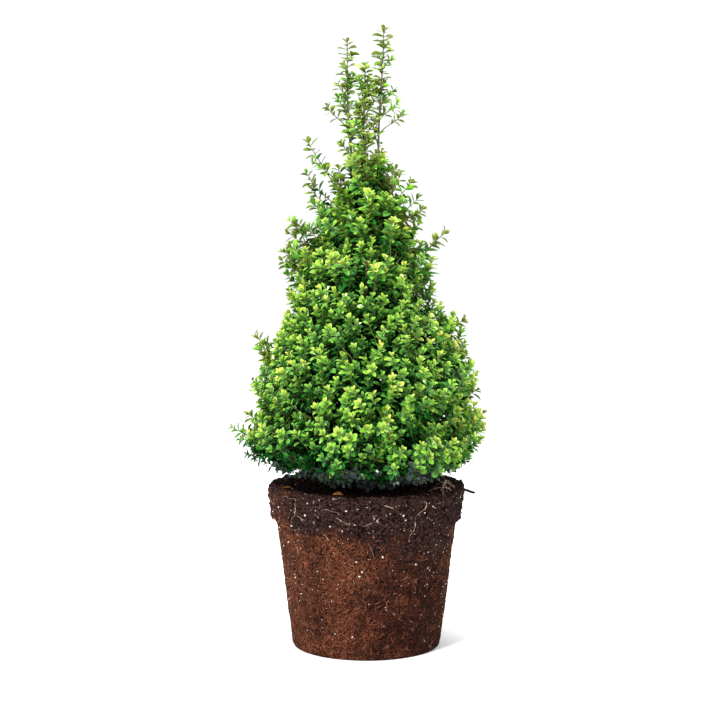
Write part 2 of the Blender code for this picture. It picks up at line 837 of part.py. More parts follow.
def leader_tips(mass):
    """A few side shoots round a leader's shoot, beside those that stand out of the outline."""
    tips = []
    for index in range(LEADER_SIDE_SHOOTS):
        share = LEADER_SIDE_FROM + LEADER_SIDE_STRETCH * index / LEADER_SIDE_SHOOTS
        place, _ = along(mass.stem, share)
        azimuth = index * GOLDEN_ANGLE + mass.dice.random() * 2 * math.pi
        reach = LEADER_SIDE_REACH * (1 - LEADER_SIDE_SHORTER * share)
        outward, upward = reach * LEADER_SIDE_OUTWARD, reach * LEADER_SIDE_UPWARD
        tips.append(mass.pulled_in(place + polar(outward, azimuth, upward)))
    return tips


def add_foliage(mass, masses, limbs, parent):
    """A mass of leaves: stem, twigs, leaves and, in a dense mass, a core, fused into one."""
    limbs = [limb for limb in limbs if distance_to_path(mass.centre, limb[0]) < LIMB_NEARBY]
    parts, taken = [], []
    radius = BOUGH_TIP_RADIUS if mass.dense else LEADER_TOP_RADIUS
    stem = add_tube(mass.name, mass.stem, radius, TWIG_TIP_RADIUS, SIDES_OF_BOUGH)
    twigs = [(tip, ROSETTE if mass.dense else LEADER_SIDE_SHOOT) for tip in mass.tips]
    if mass.dense:
        parts.append(add_core(mass, masses))
    else:
        twigs += [(tip, LEADER_SIDE_SHOOT) for tip in leader_tips(mass)]
        parts += grow_leaves(mass, mass.stem, LEADER_SHOOT, limbs, taken)
    twigs += [(tip, PROUD_SHOOT) for tip in mass.proud_tips]
    twigs.sort(key=lambda twig: twig[0].z)
    for index, (tip, kind) in enumerate(twigs):
        path = twig_path(mass, tip, (index + 0.5) / len(twigs))
        if twig_fits(mass, path, limbs):
            parts.append(add_tube("twig", path, TWIG_RADIUS, TWIG_TIP_RADIUS, 3))
            parts += grow_leaves(mass, path, kind, limbs, taken)
    fuse(stem, parts, "MANIFOLD")
    keep_outer_body(stem)
    return finish(stem, parent, HOLLY_LEAF)


def main():
    for old in list(bpy.data.objects):
        bpy.data.objects.remove(old)
    plant = bpy.data.objects.new("japanese_holly", None)
    bpy.context.scene.collection.objects.link(plant)
    masses = place_masses()
    share_out_tips(masses)
    grow_stems(masses)
    limbs = limb_paths(masses)
    add_root_ball(plant)
    add_root_stub(plant)
    add_trunk(masses, plant)
    for name in LEADERS:
        add_leader(name, masses, plant)
    for mass in masses:
        if mass.dense:
            name = mass.name.replace("foliage", "bough")
            bough = add_tube(name, bough_path(mass), BOUGH_RADIUS, BOUGH_TIP_RADIUS, SIDES_OF_BOUGH)
            finish(bough, plant, BARK, smooth=True)
        add_foliage(mass, masses, limbs, plant)


main()
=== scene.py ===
"""Looks of a japanese holly on its bare root ball: bark, leafy shoots and the pot-shaped ball.

Metres, +Z up, in the frame of the solids: the origin is the middle of the ball's flat
underside, and the side that the photograph shows faces -Y.
"""

import math

import bpy
import numpy as np
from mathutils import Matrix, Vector


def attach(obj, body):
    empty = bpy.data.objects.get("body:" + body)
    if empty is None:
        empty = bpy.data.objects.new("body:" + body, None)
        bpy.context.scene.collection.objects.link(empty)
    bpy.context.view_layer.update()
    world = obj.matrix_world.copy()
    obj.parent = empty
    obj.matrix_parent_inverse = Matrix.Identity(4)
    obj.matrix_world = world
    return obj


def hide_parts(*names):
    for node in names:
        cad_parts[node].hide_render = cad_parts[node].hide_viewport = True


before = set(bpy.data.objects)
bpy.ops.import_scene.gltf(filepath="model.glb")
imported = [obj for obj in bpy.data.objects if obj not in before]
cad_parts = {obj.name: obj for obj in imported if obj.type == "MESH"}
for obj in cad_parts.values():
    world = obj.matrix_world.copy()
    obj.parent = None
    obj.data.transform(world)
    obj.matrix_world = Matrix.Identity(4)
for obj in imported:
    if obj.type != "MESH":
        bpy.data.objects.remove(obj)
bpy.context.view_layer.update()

GOLDEN_ANGLE = math.radians(137.508)
FULL_TURN = 2 * math.pi
UP = np.array((0.0, 0.0, 1.0))

# Root ball: profiles of the felted body and of the crumbly rim and top, radius and height
BALL_HEIGHT = 0.217
LEDGE_HEIGHT = 0.172
SOIL_LEVEL = 0.212
BODY_PROFILE = (
    (0.0000, 0.0000), (0.0970, 0.0000), (0.0990, 0.0015), (0.1200, 0.1690), (0.1195, 0.1770),
    (0.1000, 0.1800), (0.0000, 0.1800),
)
RIM_PROFILE = (
    (0.1000, 0.1700), (0.1170, 0.1700), (0.1238, 0.1708), (0.1262, 0.1735), (0.1280, 0.1840),
    (0.1305, 0.2080), (0.1306, 0.2145), (0.1285, 0.2172), (0.1200, 0.2178), (0.1120, 0.2160),
    (0.0980, 0.2138), (0.0000, 0.2130),
)
# The ball's side as one line, for what lies on it
SIDE_HEIGHTS = (0.0015, 0.1690, 0.1710, 0.1735, 0.1840, 0.2080, 0.2145, 0.2172)
SIDE_RADII = (0.0990, 0.1200, 0.1238, 0.1262, 0.1280, 0.1305, 0.1306, 0.1285)

# Dark root end that stands out of the rim
STUB_AZIMUTH = math.radians(-12)
STUB_START = 0.1245
STUB_LENGTH = 0.0230
STUB_HEIGHT = 0.2145
STUB_DROOP = 0.17

# Pale roots on the ball's side: four control points, azimuth in degrees and height in mm
SIDE_ROOTS = np.array((
    ((-58.7, 211), (-52.0, 214), (-53.0, 204), (-58.7, 198)),
    ((-58.7, 198), (-61.5, 190), (-60.5, 180), (-63.1, 165)),
    ((-135.5, 206.5), (-134.0, 200), (-135.0, 193), (-137.2, 187)),
    ((-80.6, 210.5), (-79.0, 210), (-77.0, 208), (-75.1, 206.5)),
    ((-107.3, 193.5), (-105.0, 190), (-103.0, 187), (-100.4, 185)),
    ((-117.6, 170), (-116.0, 169), (-115.0, 163), (-113.6, 160)),
    ((60.0, 205), (63.0, 199), (66.0, 185), (64.0, 172)),
    ((140.0, 209), (136.0, 202), (138.0, 190), (133.0, 180)),
))
# Pale roots that lie on the rim's top: four control points in mm
TOP_ROOTS = np.array((
    ((112, -20, 217), (108, -35, 234), (98, -60, 232), (99, -90, 216.5)),
    ((88, -40, 217), (95, -50, 231), (108, -50, 230), (116, -40, 217)),
    ((80, -60, 216.5), (92, -66, 224), (104, -64, 226), (112, -56, 217)),
    ((104, 0, 217), (110, -20, 231), (104, -50, 226), (94, -75, 217)),
    ((92, 20, 217), (100, 0, 228), (112, -20, 226), (118, -35, 216)),
    ((102, 66, 218), (109, 30, 222), (104, -30, 221.5), (105, -70, 218.5)),
    ((-90, 60, 217.5), (-98, 50, 220.5), (-104, 40, 219), (-112, 34, 217.5)),
)) / 1000
# Dead leaves on the ball's top: place in mm and heading in degrees
DEAD_LEAVES = np.array((
    (-96.7, -70, 223.5, 170),
    (-44, -112, 221.5, 20),
    (90, 70, 220.5, 110),
    (-30, 118, 221, 60),
))
# Crumbs on the ball's side and on its top, white grains and loose pale roots: how many
SIDE_CRUMBS = 3600
TOP_CRUMBS = 2300
PERLITE_GRAINS = 760
LOOSE_ROOTS = 30
# Felt fibres: how many, their light and their dark tone
FELT_FIBRES = {
    "root_fibres_rust": (2600, "#703823", "#1f0d07"),
    "root_fibres_tan": (1000, "#8e6048", "#3a2018"),
}

# Trunk and leaders, as the solids have them
TRUNK_FOOT_RADIUS = 0.0165
TRUNK_LEAN = np.array((-0.004, 0.001, 0.0))
FORK_HEIGHT = 0.250
ROOT_LOBES = 5
LEADER_RADIUS = 0.0062
LEADER_TOP_RADIUS = 0.0015
LEADER_TIP_RADIUS = 0.0006
LEADER_LIMB_TOP = 0.648
LEADER_HALF_WAY = 0.45
FORK_SPREAD = 0.019
FORK_RISE = 0.026
# Leaders: half-way point, top of the limb, tip of the shoot, its height
LEADERS = {
    "left": ((-0.013, 0.009), (-0.019, 0.006), (-0.0255, 0.005), 0.806),
    "centre": ((0.000, -0.015), (-0.002, -0.014), (-0.002, -0.012), 0.775),
    "right": ((0.013, 0.008), (0.016, 0.006), (0.0225, 0.004), 0.822),
}

# Tiers of foliage masses: count, height, radius of their ring, first azimuth in degrees
TIERS = (
    (6, 0.286, 0.094, 30),
    (5, 0.388, 0.076, 18),
    (4, 0.485, 0.053, 0),
    (3, 0.584, 0.031, 330),
)
BOUGH_DROP = 0.062
LOW_BOUGH_HEIGHT = 0.232
BOUGH_RADIUS = 0.0030
BOUGH_TIP_RADIUS = 0.0012
LEADER_LAG = math.radians(50)

# Crown outline to the leaves' tips in millimetres: height, reach to the left and to the right
CROWN_OUTLINE = np.array((
    (224, 76, 84), (232, 92, 100), (239, 118, 130), (250, 146, 146), (266, 161, 152),
    (290, 162, 156), (312, 158, 160), (335, 145, 150), (368, 152, 150), (395, 134, 138),
    (430, 121, 128), (455, 103, 110), (480, 102, 94), (515, 92, 78), (535, 74, 64),
    (560, 64, 57), (590, 51, 46), (612, 40, 38), (632, 24, 24), (650, 14, 14),
)) / 1000
# Dark hollows between the boughs on the side in view: place across and height in millimetres
HOLLOWS = np.array((
    (-11, 450), (-7, 368), (9, 335), (-7, 303), (-62, 287), (53, 305), (-38, 492), (4, 497),
    (46, 424), (-47, 413), (86, 318), (-85, 345), (0, 268), (-62, 257), (30, 282), (-47, 332),
    (24, 352),
)) / 1000
HOLLOW_RADIUS = 0.013
HOLLOW_DEPTH = 0.031
# Showy yellow sprays on the side in view: place across and height in millimetres
SHOWY_SPRAYS = np.array((
    (9, 636), (-20, 602), (7, 596), (-28, 574), (7, 566), (35, 615), (58, 561), (30, 539),
    (53, 532), (-4, 522), (8, 520), (20, 520), (33, 521), (-31, 514), (55, 514), (90, 508),
    (93, 482), (-16, 420), (15, 407), (98, 420), (120, 402), (-78, 386), (-96, 396), (33, 367),
    (-20, 354), (-113, 369), (30, 322), (112, 314), (-38, 296), (50, 277),
)) / 1000

# Shoots that stand out of the outline: tip and length in millimetres, steepness in degrees
PROUD_SHOOTS = np.array((
    (-79, -20, 676, 100, 60), (-80, 12, 634, 62, 68), (-102, -15, 571, 48, 38),
    (-107, 6, 556, 44, 35), (-103, -24, 540, 40, 45), (-113, -8, 530, 44, 30),
    (-115, 20, 517, 44, 45), (-110, 8, 500, 40, 35), (-104, -12, 478, 40, 45),
    (-149, -10, 420, 50, 50), (-142, 10, 404, 40, 45), (-154, 10, 357, 40, 45),
    (-160, -20, 317, 40, 45), (-181, 0, 294, 50, 30), (-172, 12, 276, 40, 8),
    (-160, -35, 262, 40, 5), (106, 0, 556, 60, 42), (130, -20, 442, 45, 45),
    (142, 14, 376, 40, 50), (148, -22, 348, 40, 40), (158, 10, 312, 40, 45),
    (48, 5, 636, 50, 70), (60, -6, 624, 45, 60), (70, 4, 602, 45, 55), (76, -4, 586, 45, 45),
    (74, 14, 567, 40, 40), (31, 2, 644, 40, 80), (-38, -6, 641, 40, 75), (-18, -20, 668, 60, 82),
    (12, -22, 662, 55, 82), (0, -30, 650, 50, 80), (20, 30, 664, 55, 80), (-20, 30, 668, 60, 80),
    (10, 112, 552, 55, 45), (-40, 100, 570, 50, 50), (50, 147, 400, 45, 40),
    (-75, 85, 596, 60, 50), (-60, 130, 430, 45, 45), (40, 60, 640, 60, 65),
))

# Side shoots of each leader in millimetres: height of the root, tip
LEADER_SIDE_SHOOTS = {
    "left": (
        (652, -34, -4, 674), (686, -53, -2, 721), (705, -40, 2, 734), (727, -38, 6, 750),
        (660, -20, -10, 694), (672, -13, 18, 704), (700, -30, 28, 735), (735, -18, 0, 762),
    ),
    "right": (
        (681, 49, 0, 712), (700, 42, -8, 726), (719, 36, 6, 742), (769, 33, 2, 783),
        (700, 22, 28, 738), (662, 8, -2, 697), (727, 13, 0, 752),
    ),
    "centre": (
        (664, -14, -22, 700), (690, -13, -20, 722), (700, 10, -18, 730), (672, 13, -14, 706),
        (728, 6, -12, 752), (655, 2, -26, 682), (712, 4, -26, 746), (698, -4, -28, 728),
        (720, -10, -16, 756),
    ),
}
# Layers of twigs under the crown's outline: count, depth and how far that strays
BRANCH_LAYER = (200, 0.036, 0.008)
OUTER_LAYER = (820, 0.007, 0.007)
SHADED_LAYER = (760, 0.022, 0.006)
INNER_LAYERS = ((620, 0.044, 0.010), (340, 0.078, 0.014))
LOOSE_SHOOTS = 96
# Twigs by kind of shoot: radius at the root and at the tip, rings and corners around
TWIGS = {
    "branch": (0.0013, 0.0008, 9, 5),
    "rosette": (0.0007, 0.0004, 6, 4),
    "shaded": (0.0007, 0.0005, 6, 4),
    "inner": (0.0008, 0.0005, 6, 4),
    "long": (0.0010, 0.0005, 9, 5),
    "spire": (0.0009, 0.0005, 9, 5),
    "side": (0.0009, 0.0005, 8, 5),
    "leader": (LEADER_TOP_RADIUS, LEADER_TIP_RADIUS, 50, 8),
    "tuft": (0.0006, 0.0004, 4, 4),
}
LEAVES_A_PIECE = 9900
# Dry twig, cut back, that shows pale under the crown: root and end
CUT_TWIG = ((-0.0470, -0.1160, 0.2440), (-0.0450, -0.1260, 0.2670))
# Tufts in the leaders' leaf axils: how far under the tip they start, and for each leader the
# gap between them and the height down to which they go
TUFT_START = 0.028
TUFTS = {"left": (0.0130, 0.675), "centre": (0.0100, 0.655), "right": (0.0170, 0.712)}

# Studio lights: place, width and watts
LIGHTS = {
    "key": ((-1.1, -1.7, 2.3), 0.6, 108),
    "fill": ((1.7, -1.3, 1.1), 1.2, 8),
    "top": ((0.1, 0.4, 2.6), 1.0, 36),
}
LIT_POINT = Vector((0, 0, 0.40))
STUDIO_COLOUR = (0.985, 0.99, 1.0, 1)
STUDIO_STRENGTH = 1.1
FLOOR_REACH = 30.0
CAMERA_AIM = Vector((-0.0087, 0, 0.384))
CAMERA_ELEVATION = math.radians(5.6)
CAMERA_DISTANCE = 2.41
CAMERA_LENS = 90.3


def linear(code):
    """A hex sRGB colour as linear red, green, blue and alpha."""
    parts = [int(code[start : start + 2], 16) / 255 for start in (1, 3, 5)]
    return [p / 12.92 if p <= 0.04045 else ((p + 0.055) / 1.055) ** 2.4 for p in parts] + [1.0]


def unit(vectors):
    """Vectors scaled to length one along their last axis."""
    return vectors / np.linalg.norm(vectors, axis=-1, keepdims=True)


def mix(a, b, share):
    """The value that lies a share of the way from `a` to `b`."""
    return a + (b - a) * share


def smooth_step(low, high, values):
    """0 at `low` and 1 at `high`, with the cubic 3 s^2 - 2 s^3 of the share between."""
    share = np.clip((values - low) / (high - low), 0, 1)
    return share * share * (3 - 2 * share)


def polar(radius, azimuth, height):
    """Points from radius, azimuth and height arrays."""
    parts = np.broadcast_arrays(radius * np.cos(azimuth), radius * np.sin(azimuth), height)
    return np.stack(parts, axis=-1)


def lattice_value(cells, seed):
    """A repeatable value from -1 to 1 for each cell: its numbers mixed by odd multipliers."""
    mixed = cells[..., 0] * 374761393 + cells[..., 1] * 668265263
    mixed = mixed + cells[..., 2] * 1440662683 + seed * 974634777
    mixed = (mixed ^ (mixed >> 13)) * 1274126177
    mixed = mixed ^ (mixed >> 16)
    return (mixed & 0xFFFF) / 32767.5 - 1


def noise(points, size, seed):
    """Smooth noise from -1 to 1: lattice values every `size`, blended with smooth steps."""
    cells = points / size
    base = np.floor(cells).astype(np.int64)
    share = cells - base
    share = share * share * (3 - 2 * share)
    total = 0
    for corner in np.ndindex(2, 2, 2):
        weight = np.prod(np.where(corner, share, 1 - share), axis=-1)
        total = total + weight * lattice_value(base + np.array(corner), seed)
    return total


def layered_noise(points, size, layers, seed):
    """Noise in layers, each half the size and half the strength of the one before."""
    return sum(noise(points, size / 2**k, seed + k) / 2**k for k in range(layers))


def packed_crumbs(points, size, seed):
    """Relief of crumbs packed together, 0 to 1: one ball strays in each cell of `size`.

    The height over a point is that of the highest ball there, sqrt(1 - distance^2 / 0.5).
    """
    cells = points / size
    base = np.floor(cells).astype(np.int64)
    best = np.zeros(points.shape[:-1])
    for corner in np.ndindex(3, 3, 3):
        cell = base + np.array(corner) - 1
        stray = np.stack([lattice_value(cell, seed + axis) for axis in range(3)], axis=-1)
        apart = np.sum((cell + 0.5 + stray * 0.45 - cells) ** 2, axis=-1)
        best = np.maximum(best, 1 - apart / 0.5)
    return np.sqrt(best)


def mesh_of(name, points, *face_sets):
    """A mesh from an array of points and arrays of faces with three or four corners."""
    corners = np.concatenate([faces.ravel() for faces in face_sets])
    sizes = np.concatenate([np.full(len(faces), faces.shape[1]) for faces in face_sets])
    mesh = bpy.data.meshes.new(name)
    mesh.vertices.add(len(points))
    mesh.vertices.foreach_set("co", points.astype(np.float32).ravel())
    mesh.loops.add(len(corners))
    mesh.loops.foreach_set("vertex_index", corners.astype(np.int32))
    mesh.polygons.add(len(sizes))
    mesh.polygons.foreach_set("loop_start", (np.cumsum(sizes) - sizes).astype(np.int32))
    mesh.update(calc_edges=True)
    mesh.validate()
    mesh.shade_smooth()
    return mesh


def add_piece(mesh, finish, slot, *nodes):
    """A piece of the plant with its material, which stands for the nodes given."""
    piece = bpy.data.objects.new(mesh.name, mesh)
    bpy.context.scene.collection.objects.link(piece)
    mesh.materials.append(finish)
    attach(piece, "root")
    if nodes:
        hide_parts(*nodes)
    return piece


def nodes_of(*starts):
    """Names of the frame's nodes that start with any of these words."""
    return sorted(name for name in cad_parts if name.startswith(starts))


def repeated(faces, count, points_each):
    """The faces of one small shape, repeated for `count` copies of its points."""
    steps = np.arange(count)[:, None, None] * points_each
    return (faces[None] + steps).reshape(-1, faces.shape[1])


def curve_points(controls, shares):
    """Points of cubic curves: controls (curves, 4, axes) and shares (curves, steps)."""
    t, u = shares, 1 - shares
    weights = np.stack((u**3, 3 * u * u * t, 3 * u * t * t, t**3), axis=-1)
    return np.einsum("nsk,nkd->nsd", weights, controls)


def curve_ways(controls, shares):
    """Unit directions of cubic curves, from the differences of their control points."""
    t, u = shares, 1 - shares
    weights = np.stack((u * u, 2 * u * t, t * t), axis=-1)
    return unit(np.einsum("nsk,nkd->nsd", weights, np.diff(controls, axis=1)))


def even_shares(count, steps, first=0.0):
    """Even shares from `first` to 1, the same for each of `count` curves."""
    return np.broadcast_to(np.linspace(first, 1, steps), (count, steps))


def across(ways):
    """Unit vectors at right angles to directions, and the third axis of each frame."""
    helper = np.where(np.abs(ways[..., :1]) < 0.8, (1.0, 0.0, 0.0), (0.0, 1.0, 0.0))
    side = unit(np.cross(ways, helper))
    return side, np.cross(ways, side)


def tube_grid(paths, ways, radii, around):
    """Round tubes: (tubes, rings, around, 3) points on circles across their paths.

    A tube's circles all start from one side vector, laid square to each ring's direction,
    so it doesn't twist.
    """
    chord = unit(paths[:, -1] - paths[:, 0])
    side = across(chord)[0][:, None]
    side = unit(side - ways * np.sum(side * ways, axis=-1, keepdims=True))
    other = np.cross(ways, side)
    turn = np.arange(around) * FULL_TURN / around
    circle = np.cos(turn)[:, None] * side[:, :, None] + np.sin(turn)[:, None] * other[:, :, None]
    return paths[:, :, None] + circle * radii[..., None, None]


def grid_faces(rings, around):
    """Four-cornered faces of a tube's grid, and the fans that close its two ends."""
    row, column = np.meshgrid(np.arange(rings - 1), np.arange(around), indexing="ij")
    near = row * around + column
    far = row * around + (column + 1) % around
    walls = np.stack((near, far, far + around, near + around), axis=-1).reshape(-1, 4)
    step = np.arange(around)
    low, high = rings * around, rings * around + 1
    last = (rings - 1) * around
    bottom = np.stack((np.full(around, low), (step + 1) % around, step), axis=-1)
    top = np.stack((np.full(around, high), last + step, last + (step + 1) % around), axis=-1)
    return walls, np.concatenate((bottom, top))


def closed_tubes(grid, paths):
    """Points and faces of tubes closed at both ends by a point on their paths."""
    tubes, rings, around = grid.shape[:3]
    points = np.concatenate((grid.reshape(tubes, -1, 3), paths[:, :1], paths[:, -1:]), axis=1)
    walls, ends = grid_faces(rings, around)
    each = points.shape[1]
    return points.reshape(-1, 3), repeated(walls, tubes, each), repeated(ends, tubes, each)


def twigs_along(controls, root_radius, tip_radius, rings, around):
    """Thin twigs along cubic curves, tapering from root to tip."""
    shares = even_shares(len(controls), rings)
    paths = curve_points(controls, shares)
    radii = mix(root_radius, tip_radius, shares)
    return closed_tubes(tube_grid(paths, curve_ways(controls, shares), radii, around), paths)


def joined(parts):
    """Several sets of points, four-cornered and three-cornered faces as one."""
    offsets = np.cumsum([0] + [len(points) for points, _, _ in parts])
    points = np.concatenate([part[0] for part in parts])
    walls = np.concatenate([part[1] + offset for part, offset in zip(parts, offsets)])
    ends = np.concatenate([part[2] + offset for part, offset in zip(parts, offsets)])
    return points, walls, ends


def resampled(path, step):
    """A path's points at even distances, about `step` apart."""
    lengths = np.linalg.norm(np.diff(path, axis=0), axis=-1)
    total = np.concatenate(((0,), np.cumsum(lengths)))
    places = np.linspace(0, total[-1], max(int(total[-1] / step), 2) + 1)
    columns = [np.interp(places, total, path[:, axis]) for axis in range(path.shape[1])]
    return np.stack(columns, axis=-1)


def path_ways(path):
    """Unit directions along a path, from the differences of its points."""
    return unit(np.gradient(path, axis=0))


# Skeleton: the limbs by the same rule as the solids


def leader_limb(name):
    """The limb of a leader: it spreads from the trunk's fork and passes its half-way point."""
    middle, top, _, _ = LEADERS[name]
    fork = FORK_HEIGHT * UP + TRUNK_LEAN
    end = np.array((*top, LEADER_LIMB_TOP))
    half = np.array((*middle, mix(FORK_HEIGHT, LEADER_LIMB_TOP, LEADER_HALF_WAY)))
    low = fork + unit(np.array((*middle, 0.0))) * FORK_SPREAD + UP * FORK_RISE
    high = (half * 8 - fork - low * 3 - end) / 3
    return np.stack((fork, low, high, end))


def leader_shoot(name):
    """The year's shoot that carries a leader on from its limb to its tip."""
    limb = leader_limb(name)
    _, _, tip, height = LEADERS[name]
    end = np.array((*tip, height))
    reach = np.linalg.norm(end - limb[3]) / 3
    way = unit(limb[3] - limb[2])
    return np.stack((limb[3], limb[3] + way * reach, end - UP * reach, end))


def leader_path(name):
    """A leader from the fork to its tip, in steps of two millimetres."""
    lower = curve_points(leader_limb(name)[None], even_shares(1, 60))[0]
    upper = curve_points(leader_shoot(name)[None], even_shares(1, 40))[0]
    return resampled(np.concatenate((lower, upper[1:])), 0.002)


def at_height(path, height):
    """The point of an upright path at a height, and its direction there."""
    index = int(np.searchsorted(path[:, 2], height))
    index = min(max(index, 1), len(path) - 1)
    share = (height - path[index - 1, 2]) / (path[index, 2] - path[index - 1, 2])
    return mix(path[index - 1], path[index], share), unit(path[index] - path[index - 1])


def bough_paths(leaders):
    """Every bough and the stem that goes on from it through its mass, as one path each."""
    bearings = {name: math.atan2(spot[1][1], spot[1][0]) for name, spot in LEADERS.items()}
    trunk = np.stack((SOIL_LEVEL * UP, FORK_HEIGHT * UP + TRUNK_LEAN))
    paths = []
    for count, height, radius, first in TIERS:
        for index in range(count):
            azimuth = math.radians(first + 360 * index / count)
            centre = polar(radius, azimuth, height)
            if height == TIERS[0][1]:
                origin, _ = at_height(trunk, LOW_BOUGH_HEIGHT)
            else:
                name = max(bearings, key=lambda n: math.cos(bearings[n] - azimuth - LEADER_LAG))
                origin, _ = at_height(leaders[name], height - BOUGH_DROP)
            outward = unit(polar(1.0, azimuth, 0.0))
            leave = unit(outward + UP * 0.9)
            reach = np.linalg.norm(centre - origin)
            end = centre + outward * radius * 0.34 + UP * 0.034
            low = origin + leave * reach * 0.4
            high = centre + (centre - end) * 0.1
            controls = np.stack((origin, low, high, end))
            paths.append(resampled(curve_points(controls[None], even_shares(1, 30))[0], 0.003))
    return paths


# Crown: tips under the outline and the shoots that lead to them


def outline_radius(azimuth, height):
    """Reach of the crown: the left and right outlines, mixed by how far round a point lies."""
    left = np.interp(height, CROWN_OUTLINE[:, 0], CROWN_OUTLINE[:, 1])
    right = np.interp(height, CROWN_OUTLINE[:, 0], CROWN_OUTLINE[:, 2])
    return mix(left, right, (1 + np.cos(azimuth)) / 2)


def sunk(points):
    """How far the crown's surface sinks between its boughs.

    Low values of slow noise make hollows all round, and the listed ones lie on the side in view.
    """
    uneven = layered_noise(points, 0.046, 2, 11)
    sink = 0.030 * smooth_step(0.05, -0.75, uneven)
    apart = np.linalg.norm(points[:, None, (0, 2)] - HOLLOWS[None], axis=-1)
    listed = np.exp(-((apart / HOLLOW_RADIUS) ** 2)).max(axis=1) * (points[:, 1] < 0)
    return np.maximum(sink, HOLLOW_DEPTH * listed)


def crown_tips(count, depth, spread, rng):
    """Tips on a golden spiral, each with the same share of the outline's area.

    They lie `depth` under the outline, strayed by `spread`, and sink into its hollows.
    """
    heights = np.linspace(CROWN_OUTLINE[0, 0], CROWN_OUTLINE[-1, 0], 400)
    area = np.cumsum(outline_radius(math.pi / 2, heights) + 0.02)
    height = np.interp((np.arange(count) + 0.5) / count * area[-1], area, heights)
    azimuth = np.arange(count) * GOLDEN_ANGLE + rng.normal(0, 0.05, count)
    height = height + rng.normal(0, 0.004, count)
    radius = outline_radius(azimuth, height)
    radius = radius - sunk(polar(radius, azimuth, height))
    radius = radius - depth + rng.uniform(-spread, spread, count)
    kept = (radius > 0.008) & (rng.random(count) < np.interp(height, (0.56, 0.64), (1.0, 0.5)))
    return polar(radius, azimuth, height)[kept]


def arrivals(tips, rng):
    """Directions in which shoots reach their tips: out and up, flat below and steep above."""
    outward = unit(tips * (1, 1, 0) + (1e-6, 0, 0))
    lift = np.interp(tips[:, 2], (0.232, 0.27, 0.33, 0.40, 0.50, 0.60, 0.66),
                     (0.10, 0.85, 1.25, 1.6, 1.9, 2.6, 4.5))[:, None]
    sway = rng.normal(0, 0.22, tips.shape)
    return unit(outward * 0.8 + UP * lift + sway)


def grow(tips, ways, carriers, carrier_ways, back):
    """Curves from the carriers to the tips.

    Each starts at the carrier's point nearest to the place `back` behind its tip, leaves
    partly along the carrier, and arrives along its own way.
    """
    wanted = tips - ways * np.reshape(back, (-1, 1))
    apart = np.linalg.norm(wanted[:, None] - carriers[None], axis=-1)
    nearest = np.argmin(apart, axis=1)
    start = carriers[nearest]
    reach = np.linalg.norm(tips - start, axis=-1, keepdims=True)
    leave = unit(carrier_ways[nearest] * 0.5 + unit(tips - start))
    return np.stack((start, start + leave * reach * 0.35, tips - ways * reach * 0.4, tips), axis=1)


def carriers_of(controls, first):
    """Points and directions on curves, for finer shoots to start from."""
    shares = even_shares(len(controls), 12, first)
    points = curve_points(controls, shares).reshape(-1, 3)
    return points, curve_ways(controls, shares).reshape(-1, 3)


def loose_curves(carriers, carrier_ways, rng):
    """Long steep shoots all round the upper crown, with the sky between their tips."""
    count = LOOSE_SHOOTS
    height = 0.510 + 0.150 * rng.random(count) ** 1.4
    azimuth = np.arange(count) * GOLDEN_ANGLE + rng.normal(0, 0.1, count)
    radius = outline_radius(azimuth, height) + rng.uniform(-0.006, 0.016, count)
    tips = polar(radius, azimuth, height)
    steep = np.radians(rng.uniform(46, 76, count))[:, None]
    ways = unit(tips * (1, 1, 0)) * np.cos(steep) + UP * np.sin(steep)
    ways = unit(ways + rng.normal(0, 0.12, tips.shape))
    return grow(tips, ways, carriers, carrier_ways, rng.uniform(0.035, 0.065, count))


def proud_curves(carriers, carrier_ways, rng):
    """The shoots that stand out of the crown, each with a shorter sister beside it."""
    tips = PROUD_SHOOTS[:, :3] / 1000
    length = PROUD_SHOOTS[:, 3] / 1000
    steep = np.radians(PROUD_SHOOTS[:, 4])[:, None]
    ways = unit(tips * (1, 1, 0)) * np.cos(steep) + UP * np.sin(steep)
    sisters = tips - ways * 0.017 + rng.normal(0, 0.006, tips.shape)
    sister_ways = unit(ways + rng.normal(0, 0.25, tips.shape))
    return grow(np.concatenate((tips, sisters)), np.concatenate((ways, sister_ways)),
                carriers, carrier_ways, np.concatenate((length, length * 0.6)))


def side_shoots(leaders):
    """The leaders' side shoots, each from its place on the leader up and out to its tip."""
    curves = []
    for name, shoots in LEADER_SIDE_SHOOTS.items():
        for height, *tip in np.array(shoots) / 1000:
            start, way = at_height(leaders[name], height)
            tip = np.array(tip)
            reach = np.linalg.norm(tip - start)
            arrive = unit(unit(tip - start) + UP * 0.6)
            first = start + (way + unit(tip - start)) * reach * 0.2
            curves.append(np.stack((start, first, tip - arrive * reach * 0.4, tip)))
    return np.stack(curves)


def tufts(leaders):
    """Short tufts in the leaf axils of the leaders' shoots, in a golden spiral down each."""
    curves = []
    for name, path in leaders.items():
        gap, lowest = TUFTS[name]
        heights = np.arange(path[-1, 2] - TUFT_START, lowest, -gap)
        for index, height in enumerate(heights):
            start, _ = at_height(path, height)
            outward = polar(1.0, index * GOLDEN_ANGLE, 0.0)
            tip = start + outward * 0.006 + UP * 0.009
            curves.append(np.stack((start, start + outward * 0.002 + UP * 0.001,
                                    tip - UP * 0.004, tip)))
    return np.stack(curves)


# Leaves

# A blade's stations along its length and its width there, as shares: widest past the middle
BLADE_STATIONS = np.array((0.14, 0.36, 0.60, 0.82, 0.96))
BLADE_WIDTHS = np.array((0.32, 0.78, 1.00, 0.78, 0.32))
# A blade's points in order: share of the length, and side of the midrib
BLADE_ALONG = np.concatenate(((0,), np.repeat(BLADE_STATIONS, 3), (1,)))
BLADE_SIDE = np.concatenate(((0,), np.tile((1, 0, -1), len(BLADE_STATIONS)), (0,)))


